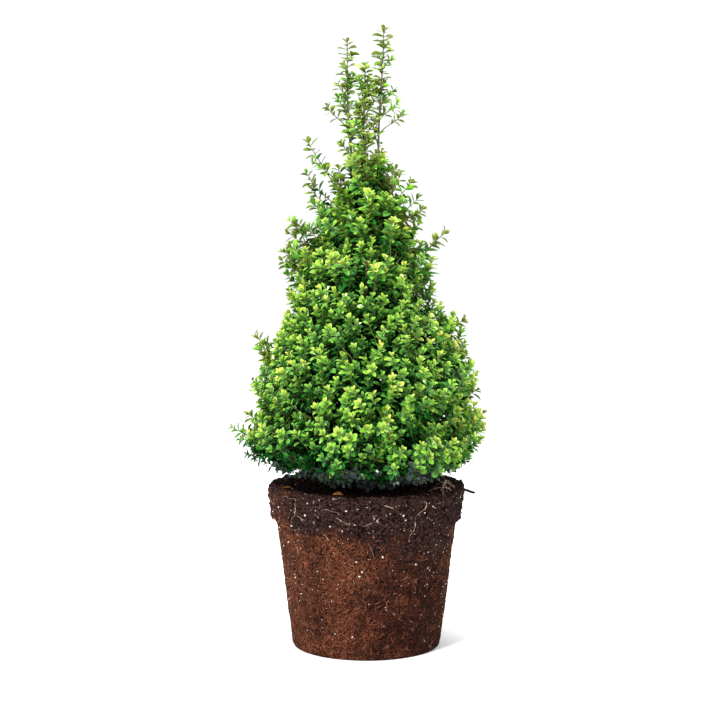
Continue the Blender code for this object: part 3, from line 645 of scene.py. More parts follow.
def blade_faces():
    """A blade's faces: a fan at its root and tip, and two rows of four-cornered ones between."""
    left = 1 + 3 * np.arange(len(BLADE_STATIONS) - 1)
    quads = [(a, a + 3, a + 4, a + 1, a + 1, a + 4, a + 5, a + 2) for a in left]
    last = 3 * len(BLADE_STATIONS) - 2
    fans = [(0, 1, 2), (0, 2, 3), (last, last + 3, last + 1), (last + 1, last + 3, last + 2)]
    return np.array(quads).reshape(-1, 4), np.array(fans)


def blade_points(leaves):
    """Blades as (leaves, points, 3), each in the frame of its leaf.

    The widths at the stations are those of the table. The halves fold up from the midrib by
    `fold` times the distance from it, and the blade bends down as the square of the station.
    """
    half = np.concatenate(((0,), np.repeat(BLADE_WIDTHS, 3), (0,))) * BLADE_SIDE / 2
    side = unit(np.cross(leaves["way"], leaves["facing"]))
    up = np.cross(side, leaves["way"])
    length, width = leaves["length"][:, None], leaves["width"][:, None]
    fold, curl = leaves["fold"][:, None], leaves["curl"][:, None]
    x = length * BLADE_ALONG
    y = width * half
    z = np.abs(y) * fold - curl * length * BLADE_ALONG * BLADE_ALONG
    frames = (leaves["way"], side, up)
    placed = sum(part[..., None] * axis[:, None] for part, axis in zip((x, y, z), frames))
    return leaves["root"][:, None] + placed


# Kinds of shoot and their leaves, from the tip down. `count` leaves stand in groups of `whorl`,
# and the gaps between them grow by `widening` up to `widest`. `young` and `full` are the lengths
# of the first leaf and of those from rank `ripe` on, `near` and `spread` their angles to the
# stem. `tint` is the first leaf's tint, and a leaf takes `fading` ranks to turn one tint darker.
# `lasting` is the share of leaves left 13 cm and more from the tip, and `olive` that of duller
# clusters. `sway` is how far the blades turn out of their order.
KIND_VALUES = ("count", "whorl", "gap", "widening", "widest", "young", "full", "ripe", "near",
               "spread", "tint", "fading", "lasting", "olive", "sway")
LEAF_KINDS = {
    "rosette": (18, 1, 0.0006, 0.00019, 0.0032, 0.0070, 0.0110, 6, 24, 60, 0.9, 4.5, 1, 0.12, 0.22),
    "shaded": (13, 1, 0.0008, 0.00030, 0.0040, 0.0080, 0.0118, 5, 22, 62, 1.6, 5, 1, 0, 0.22),
    "inner": (10, 1, 0.0014, 0.00045, 0.0060, 0.0090, 0.0145, 4, 26, 74, 1.4, 4, 1, 0, 0.22),
    "spire": (16, 2, 0.0011, 0.00068, 0.0086, 0.0066, 0.0142, 7, 32, 64, 0.9, 4.6, 1, 0.14, 0.30),
    "long": (16, 2, 0.0023, 0.00110, 0.0090, 0.0078, 0.0142, 5, 44, 64, 1.8, 8, 0.8, 0.56, 0.40),
    "side": (12, 2, 0.0018, 0.00095, 0.0070, 0.0076, 0.0124, 4, 45, 64, 1.5, 8, 1, 0.56, 0.40),
    "leader": (66, 3, 0.0030, 0.00140, 0.0092, 0.0090, 0.0150, 6, 52, 72, 1.5, 30, 0.55, 0.62, 0.42),
    "tuft": (8, 1, 0.0006, 0.00025, 0.0020, 0.0070, 0.0110, 4, 30, 64, 0.9, 6, 1, 0.25, 0.30),
}


def leaf_distances(kind):
    """Distances of a shoot's leaves back from its tip, group by group."""
    group = np.arange(kind["count"]) // kind["whorl"]
    gaps = np.minimum(kind["gap"] + kind["widening"] * np.arange(kind["count"]), kind["widest"])
    return np.cumsum(gaps)[group] + 0.0007 * (np.arange(kind["count"]) % kind["whorl"])


def grow_leaves(controls, kind_name, rng):
    """Leaves of all shoots of a kind, in a golden spiral back from each tip.

    Young leaves at the tip stand up along the shoot, older ones spread from it, and every
    upper face turns to the shoot's tip and a little to the sky.
    """
    kind = dict(zip(KIND_VALUES, LEAF_KINDS[kind_name]))
    shoots, count = len(controls), kind["count"]
    coarse = curve_points(controls, even_shares(shoots, 12))
    lengths = np.linalg.norm(np.diff(coarse, axis=1), axis=-1).sum(axis=1)
    tips = controls[:, 3]
    looser = 1.0
    if kind_name == "rosette":
        looser = mix(1.0, 1.25, smooth_step(0.50, 0.60, tips[:, 2:]))
    back = leaf_distances(kind)[None] * looser * rng.uniform(0.88, 1.12, (shoots, 1))
    kept = back < lengths[:, None] * 0.94
    kept &= rng.random(back.shape) < np.interp(back, (0.05, 0.13), (1.0, kind["lasting"]))
    places = np.clip(1 - back / lengths[:, None], 0, 1)
    root = curve_points(controls, places)
    way = curve_ways(controls, places)
    side, other = across(way)
    rank = np.broadcast_to(np.arange(count), (shoots, count))
    turn = rank * GOLDEN_ANGLE + rng.uniform(0, FULL_TURN, (shoots, 1))
    turn = (turn + rng.normal(0, 0.2, turn.shape))[..., None]
    outward = side * np.cos(turn) + other * np.sin(turn)
    age = np.clip(rank / kind["ripe"], 0, 1)
    spread = mix(kind["near"], kind["spread"], age) + rng.normal(0, 9, age.shape)
    spread = np.radians(spread)[..., None]
    leaf_way = way * np.cos(spread) + outward * np.sin(spread)
    facing = way * np.sin(spread) - outward * np.cos(spread) + UP * 0.35
    facing = facing + rng.normal(0, kind["sway"], facing.shape)
    length = mix(kind["young"], kind["full"], age) * rng.uniform(0.84, 1.16, age.shape)
    length = length * mix(0.68, 1.0, smooth_step(0.236, 0.262, tips[:, 2:])) * (0.3 + 0.7 * looser)
    depth = outline_radius(np.arctan2(tips[:, 1], tips[:, 0]), tips[:, 2])
    depth = np.maximum(depth - np.hypot(tips[:, 0], tips[:, 1]), 0)
    values = {
        "root": root,
        "way": unit(leaf_way),
        "facing": unit(facing),
        "length": length,
        "width": length * rng.uniform(0.50, 0.62, age.shape),
        "fold": rng.uniform(0.25, 0.72, age.shape),
        "curl": rng.uniform(-0.02, 0.20, age.shape),
        "rank": rank,
        "aged": kind["tint"] + rank / kind["fading"],
        "olive": np.full(age.shape, kind["olive"]),
        "own": rng.random(age.shape),
        "vigour": rng.uniform(0, 1, (shoots, 1)),
        "showy": near_showy_spray(tips)[:, None],
        "depth": np.where(tips[:, 2] > 0.67, 0.0, depth)[:, None],
    }
    return {key: np.broadcast_to(value, age.shape + value.shape[2:])[kept]
            for key, value in values.items()}


def near_showy_spray(tips):
    """Whether a shoot is one of the showy yellow ones on the side in view."""
    apart = np.linalg.norm(tips[:, None, (0, 2)] - SHOWY_SPRAYS[None], axis=-1).min(axis=1)
    return (apart < 0.009) & (tips[:, 1] < 0)


def leaf_mesh(name, leaves):
    """One piece of many blades, with a sharp crease along every midrib.

    The attribute `blade` holds a point's share of the length, its place across the blade from
    -1 to 1, and a value of the leaf's own.
    """
    points = blade_points(leaves)
    quads, fans = blade_faces()
    count, each = points.shape[:2]
    values = (BLADE_ALONG, BLADE_SIDE, leaves["own"][:, None])
    values = np.stack(np.broadcast_arrays(*values), axis=-1)
    mesh = mesh_of(name, points.reshape(-1, 3), repeated(quads, count, each),
                   repeated(fans, count, each))
    ends = np.empty(len(mesh.edges) * 2, np.int32)
    mesh.edges.foreach_get("vertices", ends)
    on_midrib = (BLADE_SIDE[ends.reshape(-1, 2) % each] == 0).all(axis=1)
    mesh.attributes.new("sharp_edge", "BOOLEAN", "EDGE").data.foreach_set("value", on_midrib)
    blade = mesh.attributes.new("blade", "FLOAT_VECTOR", "POINT")
    blade.data.foreach_set("vector", values.astype(np.float32).ravel())
    return mesh


# Tints from the youngest sprays to the leaves in the crown's depth, darkened there as painted shade,
# then the underside's painted shade with a painted grey sheen and the dull clusters: the greens at
# the tip and the foot, darker at the foot as painted shade, the margin, paler as a painted
# highlight, roughness and coat
TINTS = {
    "gold": ("#c2ca48", "#7a8a1a", "#e8ebb4", 0.28, 0.18),
    "lime": ("#a6c83c", "#44780a", "#dce8a4", 0.24, 0.26),
    "fresh": ("#80b82e", "#286806", "#bedc94", 0.22, 0.30),
    "mid": ("#52932a", "#0f4c05", "#a2d08c", 0.20, 0.30),
    "deep": ("#196613", "#032b03", "#64a862", 0.20, 0.22),
    "shade": ("#073e0a", "#011e02", "#266030", 0.24, 0.06),
    "underside_shade": ("#34443c", "#17211e", "#84958d", 0.25, 0.22),
    "olive": ("#788e32", "#364b0c", "#b0c06a", 0.26, 0.18),
}


def deal_tints(leaves):
    """A tint for each leaf: by its rank on the shoot, its spray's vigour and its place.

    Leaves deep in the crown and low on it are darker as painted shade, and those round the
    leaders' foot and in slow patches are darker too. The youngest of showy sprays are gold,
    those on the underside take painted shade with a painted grey sheen, and small clusters are
    a duller olive.
    """
    # Deeper under the outline the tint darkens: painted shade inside the crown
    level = leaves["aged"] + np.maximum(leaves["depth"] - 0.012, 0) / 0.018
    level = level + (leaves["vigour"] < 0.28) * 0.8 + noise(leaves["root"], 0.05, 23) * 0.4
    # Lower on the crown the tint darkens as painted shade under it, from a line higher on the left
    painted_shade_rise = np.interp(leaves["root"][:, 0], (-0.09, -0.02, 0.03, 0.09), (0.022, 0.0, 0.0, -0.010))
    level = level + 3.2 * smooth_step(0.274, 0.236, leaves["root"][:, 2] - painted_shade_rise)
    level = level + 1.7 * smooth_step(0.590, 0.618, leaves["root"][:, 2]) * (leaves["depth"] > 0)
    young = (leaves["rank"] < 4) & (leaves["depth"] < 0.02) & (leaves["root"][:, 2] > 0.28)
    level = np.where(young & (leaves["showy"] | (leaves["vigour"] > 0.97)), 0, level)
    names = list(TINTS)
    level = np.clip(level.astype(int), 0, names.index("shade"))
    # Low dark leaves take the underside tint: painted shade with a painted grey sheen
    low = leaves["root"][:, 2] < 0.248 + 0.016 * noise(leaves["root"], 0.016, 29)
    level = np.where(low & (level > 2), names.index("underside_shade"), level)
    dull = noise(leaves["root"], 0.010, 41) * 0.5 + 0.5 < leaves["olive"]
    return np.where(dull & (level < 4), names.index("olive"), level)


# Materials


def feed(made, inputs):
    """Fills a node's inputs: a number or colour is set, and a node or its socket is linked.

    Of a node, the first output in use is linked.
    """
    for name, source in inputs.items():
        if isinstance(source, bpy.types.Node):
            source = next(socket for socket in source.outputs if socket.enabled)
        if isinstance(source, bpy.types.NodeSocket):
            made.id_data.links.new(source, made.inputs[name])
        else:
            made.inputs[name].default_value = source


def node(tree, kind, inputs=(), **properties):
    """Adds a shader node with its properties, and fills its inputs."""
    made = tree.nodes.new("ShaderNode" + kind)
    for name, value in properties.items():
        setattr(made, name, value)
    feed(made, dict(inputs))
    return made


def surface(name, **values):
    """An empty material with its Principled shader, whose constant sockets are set."""
    made = bpy.data.materials.new(name)
    made.use_nodes = True
    shader = made.node_tree.nodes["Principled BSDF"]
    feed(shader, {socket.replace("_", " "): value for socket, value in values.items()})
    return made, made.node_tree, shader


def blend(tree, value, low, high, first, second):
    """The first colour where a value is at `low`, the second at `high`, a mix between."""
    share = node(tree, "MapRange", {"Value": value, "From Min": low, "From Max": high})
    return node(tree, "Mix", {0: share, 6: first, 7: second}, data_type="RGBA")


def evergreen_leaf(name, tip, foot, rim, roughness, coat):
    """Holly leaf under its natural wax: firm, smooth and glossy.

    Its green is uneven and deepens to the foot as painted shade, the midrib is paler, and the
    paler margin is a painted highlight.
    """
    made, tree, shader = surface(name, Coat_Weight=coat, Coat_Roughness=0.10,
                                 Specular_IOR_Level=0.15, IOR=1.46)
    spot = node(tree, "TexCoord").outputs["Object"]
    cloudy = node(tree, "TexNoise", {"Vector": spot, "Scale": 1 / 0.009, "Detail": 3.0})
    cells = node(tree, "TexNoise", {"Vector": spot, "Scale": 1 / 0.0012, "Detail": 2.0})
    blade = node(tree, "Attribute", attribute_name="blade")
    parts = node(tree, "SeparateXYZ", {"Vector": blade.outputs["Vector"]}).outputs
    own = node(tree, "Math", {0: parts["Z"], 1: 0.4, 2: cloudy}, operation="MULTIPLY_ADD")
    # Towards the blade's foot the green darkens: painted shade
    uneven = node(tree, "Math", {0: parts["X"], 1: -0.75, 2: own}, operation="MULTIPLY_ADD")
    green = blend(tree, uneven, 0.02, 0.66, linear(tip), linear(foot))
    aside = node(tree, "Math", {0: parts["Y"]}, operation="ABSOLUTE")
    # The paler margin is a painted highlight
    margin = node(tree, "MapRange", {"Value": aside, "From Min": 0.60, "To Max": 0.42})
    midrib = node(tree, "MapRange",
                  {"Value": aside, "From Max": 0.14, "To Min": 0.30, "To Max": 0.0})
    pale = node(tree, "Math", {0: margin, 1: midrib}, operation="MAXIMUM")
    rib_and_painted_highlight = node(tree, "Mix", {0: pale, 6: green, 7: linear(rim)}, data_type="RGBA")
    wax = node(tree, "MapRange",
               {"Value": cells, "To Min": roughness - 0.07, "To Max": roughness + 0.07})
    bump = node(tree, "Bump", {"Height": cells, "Strength": 0.25, "Distance": 0.0002})
    feed(shader, {"Base Color": rib_and_painted_highlight, "Roughness": wax, "Normal": bump})
    return made


def two_tone(name, light, dark, size, roughness, relief, drawn=1.0):
    """A dull natural skin, grain or fibre: two tones clouded together over a fine relief.

    `size` is that of the clouds, and `drawn` below 1 draws them out along the height.
    """
    made, tree, shader = surface(name, Roughness=roughness, Specular_IOR_Level=0.08)
    spot = node(tree, "TexCoord").outputs["Object"]
    stretch = node(tree, "Mapping", {"Vector": spot, "Scale": (1.0, 1.0, drawn)})
    cloud = node(tree, "TexNoise", {"Vector": stretch, "Scale": 1 / size, "Detail": 5.0})
    tone = blend(tree, cloud, 0.35, 0.65, linear(light), linear(dark))
    bump = node(tree, "Bump", {"Height": cloud, "Strength": 0.7, "Distance": relief})
    feed(shader, {"Base Color": tone, "Normal": bump})
    return made


def crumb_tone(tree, spot):
    """Colour of bark fines and peat: every crumb of 2.2 mm has its own dark brown."""
    crumbs = node(tree, "TexVoronoi", {"Vector": spot, "Scale": 1 / 0.0022})
    own = node(tree, "SeparateColor", {"Color": crumbs.outputs["Color"]})
    dust = node(tree, "TexNoise", {"Vector": spot, "Scale": 1 / 0.0022, "Detail": 3.0})
    both = node(tree, "Math", {0: own, 1: dust}, operation="MULTIPLY")
    tone = blend(tree, both, 0.10, 0.60, linear("#0a0505"), linear("#48312e"))
    return tone, crumbs.outputs["Distance"]


def fibre_lines(tree, spot, size, width):
    """Curling lines where warped noise crosses its middle, 1 on the line.

    Real fibres are 0.3 mm thick, too fine to show here, and the lines are a millimetre wide.
    """
    waves = node(tree, "TexNoise",
                 {"Vector": spot, "Scale": 1 / size, "Detail": 1.0, "Distortion": 1.2})
    off = node(tree, "Math", {0: waves, 1: 0.5}, operation="SUBTRACT")
    near = node(tree, "Math", {0: off}, operation="ABSOLUTE")
    return node(tree, "MapRange",
                {"Value": near, "From Max": width, "To Min": 1.0, "To Max": 0.0})


def root_felt(name):
    """Felt of fine roots pressed flat by the pot: rust-brown curls over dark peat.

    It is warmest on the left of the side in view and darker towards the right, partly as
    painted shade of the light from the left and partly as barer felt, where the peat also
    reaches lower. Bare peat and bark crumbs show through in patches, on the rim and on the top.
    """
    made, tree, shader = surface(name, Roughness=0.9, Specular_IOR_Level=0.05)
    spot = node(tree, "TexCoord").outputs["Object"]
    apart = node(tree, "SeparateXYZ", {"Vector": spot}).outputs
    peat, lumps = crumb_tone(tree, spot)
    coarse = fibre_lines(tree, spot, 0.0052, 0.054)
    fine = fibre_lines(tree, spot, 0.0037, 0.062)
    lines = node(tree, "Math", {0: coarse, 1: fine}, operation="MAXIMUM")
    ground = node(tree, "TexNoise", {"Vector": spot, "Scale": 1 / 0.0030, "Detail": 5.0})
    under = blend(tree, ground, 0.35, 0.65, linear("#050201"), linear("#170804"))
    patches = node(tree, "TexNoise", {"Vector": spot, "Scale": 1 / 0.050, "Detail": 4.0})
    # Darker towards +X: partly painted shade of the light from the left, partly barer felt
    aside = node(tree, "MapRange", {"Value": apart["X"], "From Min": -0.06, "From Max": 0.07,
                                    "To Min": 0.0, "To Max": 0.30})
    bare = node(tree, "Math", {0: patches, 1: aside}, operation="ADD")
    thread = blend(tree, bare, 0.40, 0.80, linear("#8c533a"), linear("#40231a"))
    felt = node(tree, "Mix", {0: lines, 6: under, 7: thread}, data_type="RGBA")
    ragged = node(tree, "Math", {0: bare, 1: -0.16, 2: 0.265}, operation="MULTIPLY_ADD")
    over = node(tree, "Math", {0: apart["Z"], 1: ragged}, operation="SUBTRACT")
    tone = blend(tree, over, -0.012, 0.014, felt, peat)
    height = node(tree, "Math", {0: lines, 1: lumps}, operation="SUBTRACT")
    bump = node(tree, "Bump", {"Height": height, "Strength": 0.9, "Distance": 0.0008})
    feed(shader, {"Base Color": tone, "Normal": bump})
    return made


# Root ball


def turned(profile, step, around):
    """A profile turned about the axis: its grid of points and their outward normals."""
    path = resampled(np.array(profile), step)
    path = path[path[:, 0] > 0.002]
    way = np.gradient(path, axis=0)
    normal = unit(np.column_stack((way[:, 1], -way[:, 0])))
    azimuth = np.arange(around)[None] * FULL_TURN / around
    return polar(path[:, :1], azimuth, path[:, 1:]), polar(normal[:, :1], azimuth, normal[:, 1:])


def turned_mesh(name, points, profile):
    """A turned grid, closed by a point on the axis at both ends of its profile."""
    ends = np.array(((0.0, 0.0, profile[0][1]), (0.0, 0.0, profile[-1][1])))
    return mesh_of(name, *closed_tubes(points[None], ends[None]))


def felt_relief(points):
    """Relief of the felted body: slow dents, and fine tangles of root."""
    slow = layered_noise(points, 0.022, 2, 31) * 0.0007
    return slow + layered_noise(points, 0.0040, 2, 36) * 0.0007


def rim_relief(points):
    """Relief of the rim and top: slow lumps under two sizes of crumbs."""
    slow = layered_noise(points, 0.016, 2, 40) * 0.0016
    crumbs = packed_crumbs(points, 0.0075, 44) * 0.0026
    crumbs += packed_crumbs(points, 0.0040, 48) * 0.0015
    return slow + crumbs - 0.0026


def add_ball_surface():
    """The felted body, and the crumbly rim with the top, whose lower edge wanders."""
    felt = root_felt("root_felt_over_bark_and_peat")
    points, normals = turned(BODY_PROFILE, 0.0022, 460)
    flat_foot = smooth_step(0.0, 0.004, points[..., 2])
    points = points + normals * (felt_relief(points) * flat_foot)[..., None]
    points[..., 2] = np.maximum(points[..., 2], 0.0)
    add_piece(turned_mesh("root_ball_felt", points, BODY_PROFILE), felt, "root_ball", "root_ball")

    points, normals = turned(RIM_PROFILE, 0.0014, 620)
    points = points + normals * rim_relief(points)[..., None]
    near_ledge = np.exp(-(((points[..., 2] - LEDGE_HEIGHT) / 0.008) ** 2))
    points[..., 2] += layered_noise(points * (1, 1, 0), 0.016, 2, 52) * 0.0035 * near_ledge
    add_piece(turned_mesh("root_ball_rim", points, RIM_PROFILE), felt, "root_ball", "root_ball")


def on_ball(azimuth, height, lift=0.0):
    """Points on the side of the ball, at an azimuth and a height, and outward directions."""
    radius = np.interp(height, SIDE_HEIGHTS, SIDE_RADII)
    points = polar(radius, azimuth, height)
    relief = np.where(height < 0.1695, felt_relief(points), rim_relief(points))
    outward = polar(1.0, azimuth, np.zeros_like(height))
    return points + outward * (relief[..., None] + lift), outward


def lumps_mesh(name, centres, sizes, flatness, rng):
    """Small lumps: twenty-faced balls whose corners stray, squashed and turned at random."""
    golden = (1 + 5**0.5) / 2
    signs = [(a, b * golden) for a in (-1, 1) for b in (-1, 1)]
    corners = [(a, b, 0) for a, b in signs] + [(0, a, b) for a, b in signs]
    corners = np.array(corners + [(b, 0, a) for a, b in signs])
    corners = corners / np.linalg.norm(corners[0])
    near = np.linalg.norm(corners[:, None] - corners[None], axis=-1) < 1.2
    faces = np.argwhere(near[:, :, None] & near[:, None] & near[None])
    faces = faces[(faces[:, 0] < faces[:, 1]) & (faces[:, 1] < faces[:, 2])]
    a, b, c = (corners[faces[:, k]] for k in range(3))
    inward = np.sum(np.cross(b - a, c - a) * (a + b + c), axis=-1) < 0
    faces[inward] = faces[inward][:, ::-1]
    count = len(centres)
    shape = corners[None] * rng.uniform(0.72, 1.2, (count, 12, 1))
    stretch = rng.uniform(flatness, 1.0, (count, 1, 3))
    first = unit(rng.normal(size=(count, 3)))
    second = unit(np.cross(first, rng.normal(size=(count, 3))))
    turn = np.stack((first, second, np.cross(first, second)), axis=1)
    points = np.einsum("npk,nkd->npd", shape * stretch, turn)
    points = centres[:, None] + points * sizes[:, None, None]
    return mesh_of(name, points.reshape(-1, 3), repeated(faces, count, 12))


def add_crumbs(rng):
    """Loose crumbs: most on the rim, some falling off under its edge, few below, more on top.

    A third of those on top and fewer on the side are pale wood, the others dark bark.
    """
    azimuth = rng.uniform(0, FULL_TURN, SIDE_CRUMBS)
    zone = rng.random(SIDE_CRUMBS)
    on_rim = rng.uniform(LEDGE_HEIGHT - 0.003, BALL_HEIGHT - 0.004, SIDE_CRUMBS)
    under_edge = LEDGE_HEIGHT - rng.exponential(0.010, SIDE_CRUMBS)
    below = rng.uniform(0.01, LEDGE_HEIGHT, SIDE_CRUMBS)
    height = np.select((zone < 0.72, zone > 0.93), (on_rim, below), under_edge)
    sides, outward = on_ball(azimuth, height)
    sizes = rng.gamma(3.0, 0.00050, SIDE_CRUMBS) + 0.0004
    sizes = np.where(height < LEDGE_HEIGHT - 0.004, sizes * 0.6, sizes)
    sides = sides - outward * (sizes * 0.3)[:, None]

    radius = np.sqrt(rng.uniform(0.55, 1, TOP_CRUMBS)) * 0.1300
    level = np.interp(radius, (0.098, 0.115, 0.1235, 0.1300), (0.2132, 0.2158, 0.2165, 0.2140))
    tops = polar(radius, rng.uniform(0, FULL_TURN, TOP_CRUMBS), level)
    top_sizes = rng.gamma(3.0, 0.0005, TOP_CRUMBS) + 0.0006

    places = np.concatenate((sides, tops))
    sizes = np.concatenate((sizes, top_sizes))
    pale = rng.random(len(places)) < np.repeat((0.16, 0.40), (SIDE_CRUMBS, TOP_CRUMBS))
    for name, chosen, scale, light, dark in (
        ("bark_fines", ~pale, 1.0, "#402b28", "#0d0605"),
        ("wood_fines", pale, 0.7, "#957b76", "#47332f"),
    ):
        crumbs = lumps_mesh(name, places[chosen], sizes[chosen] * scale, 0.55, rng)
        grain = two_tone(name + "_grain", light, dark, 0.0016, 0.92, 0.0004)
        add_piece(crumbs, grain, "root_ball")


def add_perlite(rng):
    """White grains of expanded perlite, stuck in the side and thicker towards the rim."""
    azimuth = rng.uniform(0, FULL_TURN, PERLITE_GRAINS)
    height = rng.beta(1.7, 0.9, PERLITE_GRAINS) * (BALL_HEIGHT - 0.008) + 0.004
    grains, outward = on_ball(azimuth, height)
    sizes = np.clip(rng.gamma(1.3, 0.00030, PERLITE_GRAINS) + 0.00025, 0, 0.0017)
    white = two_tone("expanded_perlite", "#ece4dc", "#b5a79d", 0.0010, 0.9, 0.0002)
    places = grains + outward * (sizes * 0.3)[:, None]
    add_piece(lumps_mesh("perlite_grains", places, sizes, 0.6, rng), white, "root_ball")


def wandering_fibres(azimuth, height, length, bend, lift, steps, rng):
    """Fine roots that wander over the ball's side: each step turns a little from the last.

    Neighbours start in much the same direction, which changes slowly over the ball.
    """
    count = len(azimuth)
    combed = 2.4 * noise(polar(0.12, azimuth, height), 0.045, 57) + rng.normal(0, 0.8, count)
    heading = combed[:, None] + np.cumsum(rng.normal(0, bend, (count, steps)), axis=1)
    stride = (length / steps)[:, None]
    azimuth = azimuth[:, None] + np.cumsum(np.cos(heading) * stride, axis=1) / 0.12
    height = height[:, None] + np.cumsum(np.sin(heading) * stride, axis=1)
    height = np.clip(height, 0.0025, BALL_HEIGHT - 0.003)
    return on_ball(azimuth, height, lift)[0]


def fibre_tubes(paths, radius, around=3):
    """Tubes of one thickness along arrays of points, thinned towards both ends."""
    ways = unit(np.gradient(paths, axis=1))
    share = np.linspace(-1, 1, paths.shape[1])
    radii = np.broadcast_to(radius * (1 - 0.6 * share**4), paths.shape[:2])
    return closed_tubes(tube_grid(paths, ways, radii, around), paths)


def add_felt_fibres(rng):
    """Fine roots pressed flat on the felted body, most of them rust-brown and some tan."""
    for name, (count, light, dark) in FELT_FIBRES.items():
        azimuth = rng.uniform(0, FULL_TURN, count)
        height = rng.uniform(0.004, 0.168, count)
        length = rng.uniform(0.005, 0.016, count)
        paths = wandering_fibres(azimuth, height, length, 0.45, 0.0001, 6, rng)
        skin = two_tone(name + "_skin", light, dark, 0.012, 0.85, 0.0001)
        add_piece(mesh_of(name, *fibre_tubes(paths, 0.00036)), skin, "root_ball")


def add_pale_roots(rng):
    """Pale roots at the places of the real ones, and finer ones strewn over the rim."""
    azimuth = rng.uniform(0, FULL_TURN, LOOSE_ROOTS)
    height = rng.uniform(0.150, 0.212, LOOSE_ROOTS)
    length = rng.uniform(0.010, 0.030, LOOSE_ROOTS)
    loose = wandering_fibres(azimuth, height, length, 0.20, 0.0006, 12, rng)
    side = curve_points(SIDE_ROOTS, even_shares(len(SIDE_ROOTS), 14))
    side = on_ball(np.radians(side[..., 0]), side[..., 1] / 1000, 0.0007)[0]
    top = curve_points(TOP_ROOTS, even_shares(len(TOP_ROOTS), 14))
    parts = [fibre_tubes(loose, 0.00018, 4), fibre_tubes(side, 0.00034, 5),
             fibre_tubes(top, 0.00042, 5)]
    pale = two_tone("pale_root", "#cbb29b", "#7f6250", 0.006, 0.7, 0.0001)
    add_piece(mesh_of("pale_roots", *joined(parts)), pale, "root_ball")


def add_dead_leaves(rng):
    """A few dead brown leaves that lie on top of the ball."""
    heading = np.radians(DEAD_LEAVES[:, 3])
    facing = unit(rng.normal(0, 0.25, (len(heading), 3)) + UP)
    same = {"length": 0.0150, "width": 0.0075, "fold": 0.5, "curl": 0.15, "own": 0.5}
    leaves = {key: np.full(len(heading), value) for key, value in same.items()}
    leaves |= {"root": DEAD_LEAVES[:, :3] / 1000, "way": unit(polar(1.0, heading, 0.05)),
               "facing": facing}
    fallen = two_tone("dead_leaf", "#7f5427", "#4a2f16", 0.006, 0.6, 0.0002)
    add_piece(leaf_mesh("dead_leaves", leaves), fallen, "root_ball")


def add_root_stub():
    """The dark root end: a slightly bent tube that thins, drooping a little from the rim."""
    share = np.linspace(0, 1, 14)[:, None]
    out = unit(polar(1.0, STUB_AZIMUTH, -STUB_DROOP))
    start = polar(STUB_START, STUB_AZIMUTH, STUB_HEIGHT)
    path = start + out * STUB_LENGTH * share + UP * 0.0008 * np.sin(share * 5)
    radii = np.interp(share[:, 0], (0, 0.9, 1), (0.0020, 0.0017, 0.0012))
    mesh = mesh_of("dark_root_end", *bark_limb(path, radii, 9, 0.0002, 60))
    skin = two_tone("dark_root_skin", "#2e2925", "#14110f", 0.0014, 0.75, 0.0004)
    add_piece(mesh, skin, "dark_root", "root_stub")


# Bark


def bark_limb(path, radii, around, relief, seed):
    """A limb with bark: a tube whose wall strays in ridges drawn out along the limb."""
    ways = path_ways(path)
    grid = tube_grid(path[None], ways[None], radii[None], around)
    ridges = layered_noise(grid * (1.0, 1.0, 0.35), 0.0022, 3, seed)
    outward = unit(grid - path[None, :, None])
    grid = grid + outward * (ridges * relief)[..., None]
    return closed_tubes(grid, path[None])


def trunk_surface():
    """The trunk: its foot swells into lobes over the roots and draws in to a leaning shaft."""
    foot = (SOIL_LEVEL - 0.001) * UP
    fork = (FORK_HEIGHT + 0.006) * UP + TRUNK_LEAN
    rings, around = 40, 60
    share = np.linspace(0, 1, rings)
    path = foot + (fork - foot) * share[:, None]
    radius = np.interp(share, (0, 0.15, 0.35, 0.8, 1.0),
                       (TRUNK_FOOT_RADIUS, 0.0123, 0.0104, 0.0100, 0.0070))
    lobe = np.interp(share, (0, 0.15, 0.35, 0.6), (0.20, 0.12, 0.05, 0.0))
    grid = tube_grid(path[None], path_ways(path)[None], np.ones((1, rings)), around)
    outward = grid - path[None, :, None]
    turn = np.arange(around) * FULL_TURN / around
    swell = 1 + lobe[:, None] * np.cos(ROOT_LOBES * turn)
    grid = path[None, :, None] + outward * (radius[:, None] * swell)[None, ..., None]
    ridges = layered_noise(grid * (1.0, 1.0, 0.35), 0.004, 3, 71)
    grid = grid + outward * (ridges * 0.0006)[..., None]
    return closed_tubes(grid, path[None])


def add_limbs(leaders, boughs):
    """The trunk, the leaders and the boughs under one bark."""
    bark = two_tone("bark_of_old_wood", "#5f4c3f", "#33251e", 0.0018, 0.75, 0.0005, 0.3)
    add_piece(mesh_of("bark_trunk", *trunk_surface()), bark, "bark", "trunk")
    parts = []
    for index, path in enumerate(leaders.values()):
        limb = path[path[:, 2] < LEADER_LIMB_TOP + 0.003]
        radii = np.interp(limb[:, 2], (FORK_HEIGHT, LEADER_LIMB_TOP),
                          (LEADER_RADIUS, LEADER_TOP_RADIUS))
        parts.append(bark_limb(limb, radii, 14, 0.0003, 80 + index))
    add_piece(mesh_of("bark_leaders", *joined(parts)), bark, "bark", *nodes_of("leader_"))
    parts = []
    for index, path in enumerate(boughs):
        radii = np.linspace(BOUGH_RADIUS, BOUGH_TIP_RADIUS, len(path))
        parts.append(bark_limb(path, radii, 10, 0.00025, 90 + index))
    add_piece(mesh_of("bark_boughs", *joined(parts)), bark, "bark", *nodes_of("bough_"))


